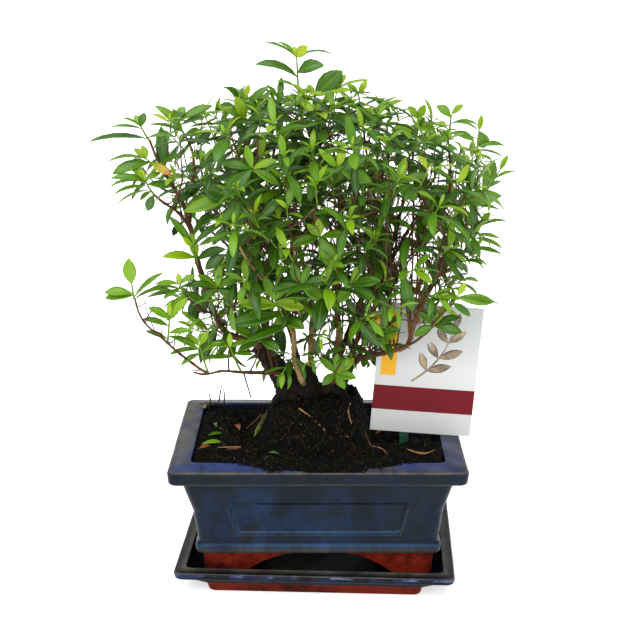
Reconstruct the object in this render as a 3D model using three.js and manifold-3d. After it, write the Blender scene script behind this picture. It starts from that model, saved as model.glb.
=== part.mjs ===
// A serissa grown as an indoor bonsai: a glazed clay pot on its drip tray, soil with a mound round the old
// root ball, a short trunk with ten main stems, the leafy shoots on them, and a plant label on its stake.
// Millimetres, +Z up, front towards -Y. The origin is the middle of the tray's foot, on the table.
import * as THREE from "three";
import { mergeVertices } from "three/addons/utils/BufferGeometryUtils.js";
import Module from "manifold-3d";

const wasm = await Module();
wasm.setup();

const gap = 0.3; // between pieces that touch

// Lengths run along X and depths along Y; each is half of the real one, measured from the middle.
const tray = {
  rim: { length: 71.8, depth: 52.8, corner: 3.5, width: 6.3, band: 0.6, under: 4.5 },
  foot: { length: 54.5, depth: 45.5, corner: 3.5, width: 5.2, height: 4.6, flare: 1.1 },
  turn: -2.7, // degrees by which it stands askew under the pot
  innerCorner: 3,
  wallSlope: 1,
  recessSlope: 0.8,
  recessZ: 1.5,
  underRimZ: 8.2,
  rimBandZ: 9.2,
  rimEdgeZ: 12.8,
  rimTopZ: 13.6,
  floorZ: 6.8,
};
const pot = {
  rim: { length: 75, depth: 54.1, corner: 4, width: 11 },
  neck: { length: 68.8, depth: 47.9 },
  waist: { length: 63.4, depth: 43.1 },
  base: { length: 61.5, depth: 41.6 },
  lip: { length: 63, depth: 43 },
  foot: { length: 59.5, depth: 39.5, width: 6.5, flare: 0.8 },
  corner: 4,
  innerCorner: 4,
  footCorner: 4,
  wall: 4.8,
  edge: 0.8, // by which an edge of the clay is eased
  footBottomZ: tray.floorZ + gap,
  undersideZ: 21,
  lipBottomZ: 20.2,
  lipTopZ: 26.5,
  floorZ: 26,
  waistZ: 44,
  neckZ: 62.5,
  rimEdgeZ: 70,
  rimTopZ: 71.4,
};
const panel = {
  topZ: 49.6,
  bottomZ: 32.7,
  topHalf: 45.6,
  bottomHalf: 41.4,
  endShare: 0.6, // of the front one's size
  recess: 1.2,
  reach: 8, // of the cutting block, to the front
};
const arch = { bottomHalf: 37, topHalf: 19, endShare: 0.6, topZ: 20, reach: 5 };
const drain = { x: 34, radius: 5.5, meshHalf: 9, meshThickness: 0.8 };
const soil = {
  edgeZ: 70,
  moundHeight: 22.1,
  moundX: -1.5,
  moundY: 2,
  left: 31,
  right: 28.5,
  depth: 33,
  leftPower: 2.6, // a higher power makes a steeper side
  rightPower: 6,
  depthPower: 2.4,
  ripple: 0.5,
  leftDip: 1.2,
  corner: 3.6,
  cornerSteps: 6,
};
const card = { width: 52, height: 69, thickness: 0.5, x: 52.6, y: -17, bottomZ: 77, lean: 4.3 };
const stake = { width: 4.5, thickness: 1.4, x: 44.5, bottomZ: 46, topZ: 104 };
const shootRadius = 0.6;

// A shoot's leaves: where the first and last pair sit on it, how far they open, in degrees, how much shorter
// the last pair is, how much their lengths vary, and each leaf's width and droop as shares of its length.
const leafHabit = {
  firstAt: 0.42,
  lastAt: 0.95,
  firstOpen: 74,
  lastOpen: 36,
  lastShare: 0.62,
  rollSpread: 24,
  least: 0.86,
  spread: 0.24,
  width: 0.38,
  droop: 0.16,
  droopSpread: 0.1,
};

// Places on the plant are given as they show from the front against the upright plane y = 0, followed by how
// far behind that plane they lie. The eye is at this distance and height.
const eye = { distance: 647, height: 323 };

const colours = {
  glaze: new THREE.MeshStandardMaterial({ color: "#2a4066", roughness: 0.25, metalness: 0 }),
  darkGlaze: new THREE.MeshStandardMaterial({ color: "#14182a", roughness: 0.2, metalness: 0 }),
  soil: new THREE.MeshStandardMaterial({ color: "#1d1410", roughness: 1, metalness: 0 }),
  mesh: new THREE.MeshStandardMaterial({ color: "#20241f", roughness: 0.7, metalness: 0 }),
  trunk: new THREE.MeshStandardMaterial({ color: "#3a2a1c", roughness: 0.95, metalness: 0 }),
  bark: new THREE.MeshStandardMaterial({ color: "#7a5a3a", roughness: 0.9, metalness: 0 }),
  leaf: new THREE.MeshStandardMaterial({ color: "#3f9a1c", roughness: 0.45, metalness: 0 }),
  dryLeaf: new THREE.MeshStandardMaterial({ color: "#9a5a24", roughness: 0.8, metalness: 0 }),
  card: new THREE.MeshStandardMaterial({ color: "#dcdcd6", roughness: 0.5, metalness: 0 }),
  stake: new THREE.MeshStandardMaterial({ color: "#12342a", roughness: 0.5, metalness: 0 }),
};

const seen = ([x, z, back]) => {
  const reach = (back + eye.distance) / eye.distance;
  return new THREE.Vector3(x * reach, back, eye.height + (z - eye.height) * reach);
};

// A repeatable number from 0 to 1 for each whole number.
const chance = (n) => {
  const v = Math.sin(n * 12.9898 + 4.1) * 43758.5453;
  return v - Math.floor(v);
};

const smooth = (low, high, v) => THREE.MathUtils.smoothstep(v, low, high);
const { lerp } = THREE.MathUtils;

function solidFrom(positions, faces) {
  const vertProperties = new Float32Array(positions.flatMap((p) => [p.x, p.y, p.z]));
  return new wasm.Manifold(
    new wasm.Mesh({ numProp: 3, vertProperties, triVerts: new Uint32Array(faces) }),
  );
}

function solidFromGeometry(geometry) {
  const bare = geometry.clone();
  bare.deleteAttribute("normal");
  bare.deleteAttribute("uv");
  const merged = mergeVertices(bare, 1e-4);
  return new wasm.Manifold(
    new wasm.Mesh({
      numProp: 3,
      vertProperties: new Float32Array(merged.attributes.position.array),
      triVerts: new Uint32Array(merged.index.array),
    }),
  );
}

function meshOf(name, solid, material) {
  const cut = solid.getMesh();
  const geometry = new THREE.BufferGeometry();
  geometry.setAttribute("position", new THREE.BufferAttribute(cut.vertProperties, 3));
  geometry.setIndex(new THREE.BufferAttribute(cut.triVerts, 1));
  geometry.computeVertexNormals();
  const mesh = new THREE.Mesh(geometry, material);
  mesh.name = name;
  return mesh;
}

// A skin over rings of points with equal counts, closed by a fan at each end, the last one about a tip where
// one is given. The rings turn anticlockwise about the direction they follow.
function loft(rings, tip) {
  const count = rings[0].length;
  const middle = (ring) =>
    ring.reduce((sum, p) => sum.add(p), new THREE.Vector3()).divideScalar(count);
  const positions = [...rings.flat(), middle(rings[0]), tip ?? middle(rings.at(-1))];
  const last = (rings.length - 1) * count;
  const faces = [];
  for (let j = 0; j < count; j++) {
    const next = (j + 1) % count;
    for (let a = 0; a < last; a += count)
      faces.push(a + j, a + next, a + count + next, a + j, a + count + next, a + count + j);
    faces.push(next, j, last + count, last + j, last + next, last + count + 1);
  }
  return solidFrom(positions, faces);
}

// A rectangle with round corners at height z, anticlockwise from above.
function roundedRing(length, depth, corner, z, steps = 3) {
  const ring = [];
  for (let quarter = 0; quarter < 4; quarter++) {
    const signX = quarter === 0 || quarter === 3 ? 1 : -1;
    const signY = quarter < 2 ? 1 : -1;
    for (let i = 0; i <= steps; i++) {
      const turn = ((quarter + i / steps) * Math.PI) / 2;
      ring.push(
        new THREE.Vector3(
          signX * (length - corner) + corner * Math.cos(turn),
          signY * (depth - corner) + corner * Math.sin(turn),
          z,
        ),
      );
    }
  }
  return ring;
}

// The same for a part of tray or pot, set in from its edge.
const inset = (part, by, corner, z) => roundedRing(part.length - by, part.depth - by, corner, z);

// Drip tray: a foot with a recess inside it, a flaring underside, an upright rim band and a low inner wall.
function makeTray() {
  const { rim, foot } = tray;
  const body = loft([
    inset(foot, 0, foot.corner, 0),
    inset(foot, -foot.flare, foot.corner, foot.height),
    inset(rim, rim.under, rim.corner, tray.underRimZ),
    inset(rim, rim.band, rim.corner, tray.rimBandZ),
    inset(rim, 0, rim.corner, tray.rimEdgeZ),
    inset(rim, rim.width, tray.innerCorner, tray.rimTopZ),
    inset(rim, rim.width + tray.wallSlope, tray.innerCorner, tray.floorZ),
  ]);
  const recess = loft([
    inset(foot, foot.width, tray.innerCorner, -tray.recessZ),
    inset(foot, foot.width + tray.recessSlope, tray.innerCorner, tray.recessZ),
  ]);
  return body.subtract(recess).rotate([0, 0, tray.turn]);
}

// A trapezium in the XZ plane pushed along Y, for the panels and the arches between the feet.
function trapezium(topHalf, bottomHalf, topZ, bottomZ, thickness) {
  const outline = new THREE.Shape([
    new THREE.Vector2(-bottomHalf, bottomZ),
    new THREE.Vector2(bottomHalf, bottomZ),
    new THREE.Vector2(topHalf, topZ),
    new THREE.Vector2(-topHalf, topZ),
  ]);
  const geometry = new THREE.ExtrudeGeometry(outline, { depth: thickness, bevelEnabled: false });
  return geometry.rotateX(Math.PI / 2); // the outline's second axis now points up, the depth to the front
}

// One side's panel block, lying along the leaning wall with its back face panel.recess inside it.
function panelCutter(wallAt, halfShare) {
  const lean = Math.atan2(wallAt(panel.topZ) - wallAt(panel.bottomZ), panel.topZ - panel.bottomZ);
  const height = (panel.topZ - panel.bottomZ) / 2;
  const middleZ = (panel.topZ + panel.bottomZ) / 2;
  return trapezium(panel.topHalf * halfShare, panel.bottomHalf * halfShare, height, -height, panel.reach)
    .rotateX(lean)
    .translate(0, panel.recess - wallAt(middleZ), middleZ);
}

function makePot() {
  const { rim, neck, waist, base, lip, foot } = pot;
  const inner = { length: rim.length - rim.width, depth: rim.depth - rim.width };
  let body = loft([
    inset(foot, foot.width + pot.edge, pot.innerCorner, pot.undersideZ),
    inset(foot, foot.width, pot.innerCorner, pot.footBottomZ),
    inset(foot, foot.flare, pot.footCorner, pot.footBottomZ),
    inset(foot, 0, pot.footCorner, pot.lipBottomZ),
    inset(lip, pot.edge / 2, pot.corner, pot.lipBottomZ + pot.edge),
    inset(lip, 0, pot.corner, pot.lipTopZ - 1.5 * pot.edge),
    inset(base, 0, pot.corner, pot.lipTopZ),
    inset(waist, 0, pot.corner, pot.waistZ),
    inset(neck, 0, pot.corner, pot.neckZ),
    inset(rim, pot.edge, rim.corner, pot.neckZ + pot.edge / 2),
    inset(rim, 0, rim.corner, pot.rimEdgeZ - pot.edge),
    inset(rim, pot.edge, rim.corner, pot.rimEdgeZ),
    inset(inner, 0, pot.innerCorner, pot.rimTopZ),
    inset(inner, pot.edge, pot.innerCorner, pot.neckZ),
    inset(waist, pot.wall, pot.innerCorner, pot.waistZ),
    inset(base, pot.wall, pot.innerCorner, pot.floorZ),
  ]);
  const wallDepth = (z) =>
    THREE.MathUtils.mapLinear(z, pot.lipTopZ, pot.waistZ, base.depth, waist.depth);
  const wallLength = (z) =>
    THREE.MathUtils.mapLinear(z, pot.lipTopZ, pot.waistZ, base.length, waist.length);
  const archAcross = (share, reach) =>
    trapezium(arch.topHalf * share, arch.bottomHalf * share, arch.topZ, 0, 2 * reach).translate(0, reach, 0);
  for (const turn of [0, Math.PI]) {
    body = body.subtract(solidFromGeometry(panelCutter(wallDepth, 1).rotateZ(turn)));
    body = body.subtract(
      solidFromGeometry(panelCutter(wallLength, panel.endShare).rotateZ(turn + Math.PI / 2)),
    );
  }
  body = body.subtract(solidFromGeometry(archAcross(1, foot.depth + arch.reach)));
  body = body.subtract(
    solidFromGeometry(archAcross(arch.endShare, foot.length + arch.reach).rotateZ(Math.PI / 2)),
  );
  for (const x of [-drain.x, drain.x]) {
    const depth = 2 * (pot.floorZ - pot.footBottomZ);
    const hole = new THREE.CylinderGeometry(drain.radius, drain.radius, depth, 16);
    hole.rotateX(Math.PI / 2).translate(x, 0, pot.floorZ);
    body = body.subtract(solidFromGeometry(hole));
  }
  return body;
}

function makeDrainageMesh(x) {
  const square = new THREE.BoxGeometry(2 * drain.meshHalf, 2 * drain.meshHalf, drain.meshThickness);
  return solidFromGeometry(square.translate(x, 0, pot.floorZ + gap + drain.meshThickness / 2));
}

// Height of the soil: nearly level at the rim, with a mound that drops steeply on its right.
function soilTop(x, y) {
  const isLeft = x < soil.moundX;
  const side = isLeft ? soil.left : soil.right;
  const power = isLeft ? soil.leftPower : soil.rightPower;
  const across = Math.abs((x - soil.moundX) / side) ** power;
  const along = Math.abs((y - soil.moundY) / soil.depth) ** soil.depthPower;
  const mound = 1 - smooth(0.35, 1.25, Math.sqrt(across + along));
  const ripple = soil.ripple * Math.sin(x * 0.21 + 1) * Math.cos(y * 0.26);
  return soil.edgeZ + soil.moundHeight * mound + ripple - soil.leftDip * smooth(20, 60, -x);
}

function makeSoil() {
  const { rim, waist, base } = pot;
  const edge = rim.width + pot.edge + gap;
  const top = { length: rim.length - edge, depth: rim.depth - edge };
  const bottomZ = pot.floorZ + 2 * gap + drain.meshThickness;
  const wall = pot.wall + gap;
  const ringOf = (length, depth, z) => roundedRing(length, depth, soil.corner, z, soil.cornerSteps);
  const rings = [
    ringOf(base.length - wall, base.depth - wall, bottomZ),
    ringOf(waist.length - wall, waist.depth - wall, pot.waistZ),
  ];
  // Rings over the top turn from the pot's outline into circles towards the mound.
  for (const share of [1, 0.85, 0.7, 0.57, 0.45, 0.32, 0.18]) {
    const ring = ringOf(top.length * share, top.depth * share, 0);
    const roundness = 0.85 * (1 - smooth(0.4, 1, share));
    const radius = ((top.length + top.depth) / 2) * share;
    ring.forEach((p) => {
      p.lerp(p.clone().normalize().multiplyScalar(radius), roundness);
      p.z = soilTop(p.x, p.y);
    });
    rings.push(ring);
  }
  return loft(rings);
}

// A tube through the points whose radius changes evenly along it from entry to entry of radii. With grow it
// is that much larger all round, to cut a neighbour clear of it.
function taperedTube(points, radii, { sides = 6, steps = 8, grow = 0 } = {}) {
  const curve = new THREE.CatmullRomCurve3(points, false, "centripetal");
  const frames = curve.computeFrenetFrames(steps, false);
  const rings = [];
  for (let i = 0; i <= steps; i++) {
    const u = i / steps;
    const place = u * (radii.length - 1);
    const low = Math.min(Math.floor(place), radii.length - 2);
    const radius = lerp(radii[low], radii[low + 1], place - low) + grow;
    const centre = curve.getPointAt(u);
    if (i === 0) centre.addScaledVector(frames.tangents[i], -grow);
    if (i === steps) centre.addScaledVector(frames.tangents[i], grow);
    rings.push(
      Array.from({ length: sides }, (_, k) => {
        const turn = (k / sides) * 2 * Math.PI;
        return centre
          .clone()
          .addScaledVector(frames.normals[i], Math.cos(turn) * radius)
          .addScaledVector(frames.binormals[i], Math.sin(turn) * radius);
      }),
    );
  }
  return loft(rings);
}

// Trunk: three lumps grown together, each forking into the stems, and surface roots that run into the soil.
const trunkParts = [
  { radii: [13, 9, 4.6, 2.8], route: [[-11, 82, 2], [-17, 98, 2], [-22, 109, 3], [-30, 119, 4]] },
  { radii: [13, 8.8, 4.4, 2.6], route: [[-3, 82, 0], [-5, 95, 0], [-5, 103, 1], [-5, 109, 2]] },
  { radii: [12, 8, 4.4, 2.8], route: [[5, 82, 2], [10, 96, 2], [13, 104, 3], [15, 110, 4]] },
  { radii: [7, 4.8, 2.6], route: [[-4, 84, 8], [-6, 97, 12], [-8, 106, 15]] },
  { radii: [6, 4, 2], route: [[-12, 92, -2], [-20, 90, -14], [-26, 82, -22]] },
  { radii: [6, 3.5, 2], route: [[6, 92, 0], [16, 90, -10], [22, 82, -18]] },
];

function makeTrunk(grow) {
  return trunkParts
    .map(({ radii, route }) => taperedTube(route.map(seen), radii, { sides: 8, steps: 4, grow }))
    .reduce((whole, part) => whole.add(part));
}

// Branches: the stem each belongs to, its radius at both ends and its route. A side twig starts on another
// branch, at a share of that one's length.
const branches = {
  leftLow: {
    stem: "stem_left_low",
    radii: [1.2, 0.5],
    route: [
      [-20, 104, -1], [-30, 104, -10], [-40, 104.5, -16], [-50, 105, -20], [-60, 103, -23],
      [-66, 104, -24],
    ],
  },
  leftLowTwig: {
    stem: "stem_left_low",
    from: ["leftLow", 0.84],
    radii: [0.8, 0.5],
    route: [
      [-64, 107, -25], [-72, 114, -29], [-80, 122, -32], [-89, 130, -35], [-93, 137, -36],
      [-95, 144, -36],
    ],
  },
  left: {
    stem: "stem_left",
    radii: [1.9, 1.6, 1.2],
    route: [
      [-30, 118, 2], [-38, 122, -3], [-48, 126, -9], [-54, 138, -13], [-58, 152, -14],
      [-62, 165, -13], [-64.5, 178, -12], [-66, 186, -11],
    ],
  },
  leftTwig: {
    stem: "stem_left",
    from: ["left", 0.42],
    radii: [0.7, 0.5],
    route: [[-60, 138, -20], [-66, 143, -26], [-69.5, 147, -29]],
  },
  leftOuter: {
    stem: "stem_left",
    from: ["left", 0.95],
    radii: [1, 0.6],
    route: [[-71, 190, -15], [-78, 195, -19], [-83, 199, -21]],
  },
  leftUpper: {
    stem: "stem_left",
    from: ["left", 0.99],
    radii: [1.1, 0.6],
    route: [[-69, 196, -9], [-75, 206, -10], [-80, 216, -14], [-84, 226, -20]],
  },
  leftInner: {
    stem: "stem_left",
    from: ["left", 0.98],
    radii: [1, 0.6],
    route: [[-63, 196, -5], [-62, 208, -1], [-63, 220, 1], [-66, 228, 2]],
  },
  leftBack: {
    stem: "stem_left_back",
    radii: [1.4, 0.6],
    route: [
      [-24, 112, 5], [-28, 120, 11], [-35, 136, 19], [-40, 155, 25], [-41, 175, 29], [-39, 195, 33],
      [-37, 215, 35], [-35, 230, 35],
    ],
  },
  leftBackTwig: {
    stem: "stem_left_back",
    from: ["leftBack", 0.55],
    radii: [0.8, 0.6],
    route: [[-50, 188, 34], [-57, 202, 38], [-59, 216, 40]],
  },
  middleLeft: {
    stem: "stem_middle_left",
    radii: [1.6, 1.2, 0.6],
    route: [
      [-7, 95, -5], [-9, 101, -11], [-12, 111, -13], [-13, 124, -14], [-17, 145, -14],
      [-24, 165, -12], [-31, 182, -10], [-35, 200, -9], [-37, 218, -9], [-36, 231, -9],
    ],
  },
  middleLeftTwig: {
    stem: "stem_middle_left",
    from: ["middleLeft", 0.42],
    radii: [0.9, 0.6],
    route: [[-27, 153, -26], [-35, 163, -36], [-40, 172, -44]],
  },
  middle: {
    stem: "stem_middle",
    radii: [1.7, 1.2, 0.5],
    route: [
      [-4, 103, 0], [-4, 118, -4], [-3, 140, -2], [-8, 165, 1], [-12, 190, 2], [-11, 215, 1],
      [-10, 235, 0], [-9.5, 247, 0],
    ],
  },
  middleTwig: {
    stem: "stem_middle",
    from: ["middle", 0.45],
    radii: [0.9, 0.6],
    route: [[-4, 178, -15], [-1, 192, -27], [-1, 206, -37]],
  },
  middleRight: {
    stem: "stem_middle_right",
    radii: [1.7, 1.3, 0.6],
    route: [
      [9, 98, -3], [9.5, 111, -9], [10.5, 125, -11], [9.5, 145, -11], [10, 170, -11],
      [11, 190, -9], [9, 212, -7], [5, 232, -6],
    ],
  },
  middleRightTwig: {
    stem: "stem_middle_right",
    from: ["middleRight", 0.5],
    radii: [0.9, 0.6],
    route: [[15, 184, -23], [19, 198, -33], [20, 211, -41]],
  },
  right: {
    stem: "stem_right",
    radii: [1.6, 1.2, 0.6],
    route: [
      [14.5, 107, 4], [22, 125, 10], [32, 148, 14], [37, 170, 15], [42, 190, 15], [46, 210, 13],
      [48, 225, 10],
    ],
  },
  rightTwig: {
    stem: "stem_right",
    from: ["right", 0.5],
    radii: [0.8, 0.5],
    route: [[30, 186, 4], [27, 206, -2], [24, 222, -5], [22, 235, -5]],
  },
  rightLow: {
    stem: "stem_right_low",
    radii: [1.4, 1.2, 0.5],
    route: [
      [14, 103, 1], [18, 107.5, -6], [22, 111.5, -12], [30, 114, -21], [40, 116, -25], [46, 118.5, -26],
      [49, 127, -25], [52, 137, -24], [57, 149, -19], [62, 160, -9], [65, 174, -3], [63, 186, -1],
      [66, 200, 1], [66, 214, 3], [65, 227, 5],
    ],
  },
  rightOuter: {
    stem: "stem_right_low",
    from: ["rightLow", 0.56],
    radii: [1, 0.5],
    route: [[70, 162, 0], [76, 172, 8], [79, 186, 16], [80, 198, 24], [80, 210, 30], [79, 220, 34]],
  },
  rightLowGreen: {
    stem: "stem_right_low",
    from: ["rightLow", 0.31],
    radii: [0.8, 0.5],
    route: [[53, 123, -32], [59, 130, -36], [65, 137, -38], [69, 142, -38]],
  },
  backLeft: {
    stem: "stem_back_left",
    radii: [1.5, 1.1, 0.6],
    route: [
      [-8, 103, 15], [-15, 128, 27], [-22, 155, 39], [-25, 185, 46], [-24, 210, 48],
      [-20, 229, 46],
    ],
  },
  backLeftTwig: {
    stem: "stem_back_left",
    from: ["backLeft", 0.42],
    radii: [0.9, 0.6],
    route: [[-38, 166, 51], [-50, 176, 56], [-60, 184, 58]],
  },
  backRight: {
    stem: "stem_back_right",
    radii: [1.5, 1.1, 0.6],
    route: [[8, 99, 7], [16, 128, 27], [26, 155, 39], [32, 185, 45], [34, 208, 47], [30, 227, 45]],
  },
  backRightTwig: {
    stem: "stem_back_right",
    from: ["backRight", 0.42],
    radii: [0.9, 0.6],
    route: [[43, 164, 51], [55, 174, 55], [64, 184, 56]],
  },
};

// Shoots: where each starts, where its tip is, how many pairs of leaves it bears and how long they are. A
// turn rolls the first pair about the shoot.
const shoots = {
  shoot_top: { from: ["middle", 1], tip: [-10.5, 267, 0], pairs: 4, leaf: 21 },
  shoot_top_left: { from: ["middleLeft", 1], tip: [-36, 247, -10], pairs: 3, leaf: 18 },
  shoot_top_middle: { from: ["middleRight", 1], tip: [8, 251, -8], pairs: 4, leaf: 20 },
  shoot_top_right: { from: ["rightTwig", 1], tip: [20, 249, -4], pairs: 3, leaf: 17 },
  shoot_left_tip: { from: ["leftUpper", 1], tip: [-88, 233, -24], pairs: 2, leaf: 27, turn: 20 },
  shoot_left_fan: { from: ["leftOuter", 1], tip: [-87, 206, -25], pairs: 3, leaf: 20, turn: 30 },
  shoot_left_side: { from: ["leftUpper", 0.6], tip: [-86, 217, -22], pairs: 3, leaf: 17 },
  shoot_left_high: { from: ["leftInner", 1], tip: [-70, 237, 2], pairs: 3, leaf: 17 },
  shoot_left_inner: { from: ["leftInner", 0.3], tip: [-55, 212, -16], pairs: 3, leaf: 16 },
  shoot_left_back: { from: ["leftBackTwig", 1], tip: [-58, 235, 41], pairs: 3, leaf: 17 },
  shoot_left_back_top: { from: ["leftBack", 1], tip: [-38, 246, 35], pairs: 3, leaf: 17 },
  shoot_left_stem: { from: ["left", 0.74], tip: [-64, 172, -24], pairs: 2, leaf: 17, turn: 40 },
  shoot_left_twig: { from: ["leftTwig", 1], tip: [-71, 152, -32], pairs: 3, leaf: 14 },
  shoot_low_tip: { from: ["leftLowTwig", 1], tip: [-96, 152, -37], pairs: 2, leaf: 17, turn: 15 },
  shoot_low_upright: { from: ["leftLowTwig", 0.5], tip: [-77, 135, -33], pairs: 2, leaf: 15 },
  shoot_low_inner: { from: ["leftLow", 0.84], tip: [-62, 119, -28], pairs: 3, leaf: 13 },
  shoot_low_base: { from: ["leftLow", 0.5], tip: [-46, 118, -26], pairs: 3, leaf: 13 },
  shoot_left_bright: { from: ["middleLeft", 0.26], tip: [-22, 143, -30], pairs: 3, leaf: 19, turn: 10 },
  shoot_left_centre: { from: ["middleLeftTwig", 1], tip: [-43, 184, -60], pairs: 4, leaf: 19 },
  shoot_front_left: { from: ["middleLeft", 0.55], tip: [-20, 186, -34], pairs: 3, leaf: 18 },
  shoot_front_left_top: { from: ["middleLeft", 0.8], tip: [-28, 219, -32], pairs: 3, leaf: 19 },
  shoot_front_middle: { from: ["middleRight", 0.42], tip: [5, 168, -28], pairs: 3, leaf: 19 },
  shoot_front_top: { from: ["middleTwig", 1], tip: [-3, 222, -44], pairs: 4, leaf: 19 },
  shoot_front_right_top: { from: ["middleRightTwig", 1], tip: [17, 224, -60], pairs: 4, leaf: 19 },
  shoot_front_right: { from: ["right", 0.55], tip: [34, 194, -16], pairs: 3, leaf: 18 },
  shoot_right_high: { from: ["right", 1], tip: [50, 237, 8], pairs: 4, leaf: 18 },
  shoot_right_top: { from: ["rightLow", 1], tip: [66, 239, 8], pairs: 3, leaf: 16 },
  shoot_right_tip: { from: ["rightOuter", 1], tip: [80, 231, 38], pairs: 3, leaf: 15 },
  shoot_right_side: { from: ["rightOuter", 0.66], tip: [91, 211, 54], pairs: 3, leaf: 20 },
  shoot_right_lower: { from: ["rightOuter", 0.3], tip: [82, 182, 8], pairs: 3, leaf: 15 },
  shoot_right_centre: { from: ["rightLow", 0.7], tip: [56, 190, -20], pairs: 3, leaf: 17 },
  shoot_right_green: { from: ["rightLowGreen", 1], tip: [72, 146, -40], pairs: 3, leaf: 14 },
  shoot_right_low: { from: ["rightLow", 0.24], tip: [36, 128, -32], pairs: 3, leaf: 14 },
  shoot_back_left: { from: ["backLeftTwig", 1], tip: [-69, 196, 53], pairs: 4, leaf: 17 },
  shoot_back_left_top: { from: ["backLeft", 1], tip: [-19, 246, 48], pairs: 4, leaf: 18 },
  shoot_back_right: { from: ["backRightTwig", 1], tip: [72, 197, 53], pairs: 4, leaf: 17 },
  shoot_back_right_top: { from: ["backRight", 1], tip: [31, 244, 47], pairs: 4, leaf: 18 },
  shoot_back_middle: { from: ["backLeft", 0.6], tip: [-4, 192, 58], pairs: 4, leaf: 17 },
};

const curveOf = {};
for (const [name, { from, route }] of Object.entries(branches)) {
  const points = route.map(seen);
  if (from) points.unshift(curveOf[from[0]].getPointAt(from[1]));
  curveOf[name] = new THREE.CatmullRomCurve3(points, false, "centripetal");
}

function makeBranch({ radii, from }, name, grow) {
  const shape = from ? { sides: 5, steps: 12 } : { sides: 6, steps: 16 };
  return taperedTube(curveOf[name].points, radii, { ...shape, grow });
}

function makeStem(stem, grow = 0) {
  return Object.entries(branches)
    .filter(([, branch]) => branch.stem === stem)
    .map(([name, branch]) => makeBranch(branch, name, grow))
    .reduce((whole, part) => whole.add(part));
}

// A leaf: a narrow stalk, a blade widest past its middle with its rib as a keel below, and a pointed tip. It
// leaves along ahead, its upper side faces up, and it arches down by droop. With grow it is larger all round.
function makeLeaf({ base, ahead, up, length, width, droop, grow = 0 }) {
  const side = new THREE.Vector3().crossVectors(up, ahead).normalize();
  const face = new THREE.Vector3().crossVectors(ahead, side).normalize();
  const stations = [
    { t: 0, half: 0.05, thickness: 0.5 },
    { t: 0.38, half: 0.44, thickness: 0.8 },
    { t: 0.7, half: 0.42, thickness: 0.6 },
  ];
  const rib = (t) =>
    base.clone().addScaledVector(ahead, length * t).addScaledVector(face, -droop * length * t * t);
  const rings = stations.map(({ t, half, thickness }) => {
    const out = Math.max(half * width, 0.35) + grow;
    const edge = rib(t).addScaledVector(face, grow);
    return [
      edge.clone().addScaledVector(side, out),
      edge.clone().addScaledVector(side, -out),
      rib(t).addScaledVector(face, -thickness - grow),
    ];
  });
  return loft(rings, rib(1).addScaledVector(ahead, grow));
}

// A shoot's middle line: straight from its branch to its tip but for a slight sag.
function shootCurve({ from, tip }) {
  const start = curveOf[from[0]].getPointAt(from[1]);
  const end = seen(tip);
  const sag = start.clone().lerp(end, 0.5).add(new THREE.Vector3(0, 0, -0.6));
  return new THREE.CatmullRomCurve3([start, sag, end], false, "centripetal");
}

// The leaves of a shoot in pairs, each pair turned a quarter from the one below, smaller and steeper to the
// tip.
function leavesOf(shoot, seed) {
  const line = shootCurve(shoot);
  const along = line.getPointAt(1).sub(line.getPointAt(0)).normalize();
  const level = Math.abs(along.z) > 0.9 ? new THREE.Vector3(1, 0, 0) : new THREE.Vector3(0, 0, 1);
  const across = new THREE.Vector3().crossVectors(along, level).normalize();
  const leaves = [];
  for (let pair = 0; pair < shoot.pairs; pair++) {
    const share = pair / (shoot.pairs - 1);
    const wander = leafHabit.rollSpread * (chance(seed + pair) - 0.5);
    const roll = THREE.MathUtils.degToRad((shoot.turn ?? 0) + 90 * pair + wander);
    const open = THREE.MathUtils.degToRad(lerp(leafHabit.firstOpen, leafHabit.lastOpen, share));
    const at = line.getPointAt(lerp(leafHabit.firstAt, leafHabit.lastAt, share));
    for (const half of [0, 1]) {
      const out = across.clone().applyAxisAngle(along, roll + half * Math.PI);
      const ahead = along.clone().multiplyScalar(Math.cos(open)).addScaledVector(out, Math.sin(open));
      const up = new THREE.Vector3(0, 0, 1).addScaledVector(ahead, -ahead.z);
      if (up.length() < 0.35) up.copy(out).negate();
      const vary = leafHabit.least + leafHabit.spread * chance(seed + 7 * pair + half);
      const length = shoot.leaf * lerp(1, leafHabit.lastShare, share * share) * vary;
      leaves.push({
        base: at.clone().addScaledVector(out, shootRadius / 2),
        ahead: ahead.normalize(),
        up: up.normalize(),
        length,
        width: length * leafHabit.width,
        droop: leafHabit.droop + leafHabit.droopSpread * chance(seed + 3 * pair + half),
      });
    }
  }
  return leaves;
}

function makeShootStem(shoot) {
  return taperedTube(shootCurve(shoot).points, [shootRadius, shootRadius * 0.75], { sides: 4, steps: 3 });
}

// The plant label: a thin card that leans a little to the right, in front of its stake.
function makeCard(grow = 0) {
  const [width, thickness, height] = [card.width, card.thickness, card.height].map((size) => size + 2 * grow);
  const plate = new THREE.BoxGeometry(width, thickness, height);
  plate.translate(0, 0, card.height / 2);
  plate.rotateY(THREE.MathUtils.degToRad(card.lean));
  return solidFromGeometry(plate.translate(card.x, card.y, card.bottomZ));
}

function makeStake(grow = 0) {
  const height = stake.topZ - stake.bottomZ + 2 * grow;
  const strip = new THREE.BoxGeometry(stake.width + 2 * grow, stake.thickness + 2 * grow, height);
  const y = card.y + (card.thickness + stake.thickness) / 2 + gap;
  return solidFromGeometry(strip.translate(stake.x, y, (stake.topZ + stake.bottomZ) / 2));
}

// A tube half sunk in the soil through places given by x and y.
function tubeOnSoil({ places, radii }, grow = 0) {
  const points = places.map(([x, y]) => new THREE.Vector3(x, y, soilTop(x, y) + radii[0] / 2));
  return taperedTube(points, radii, { sides: 5, steps: 6, grow });
}

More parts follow.
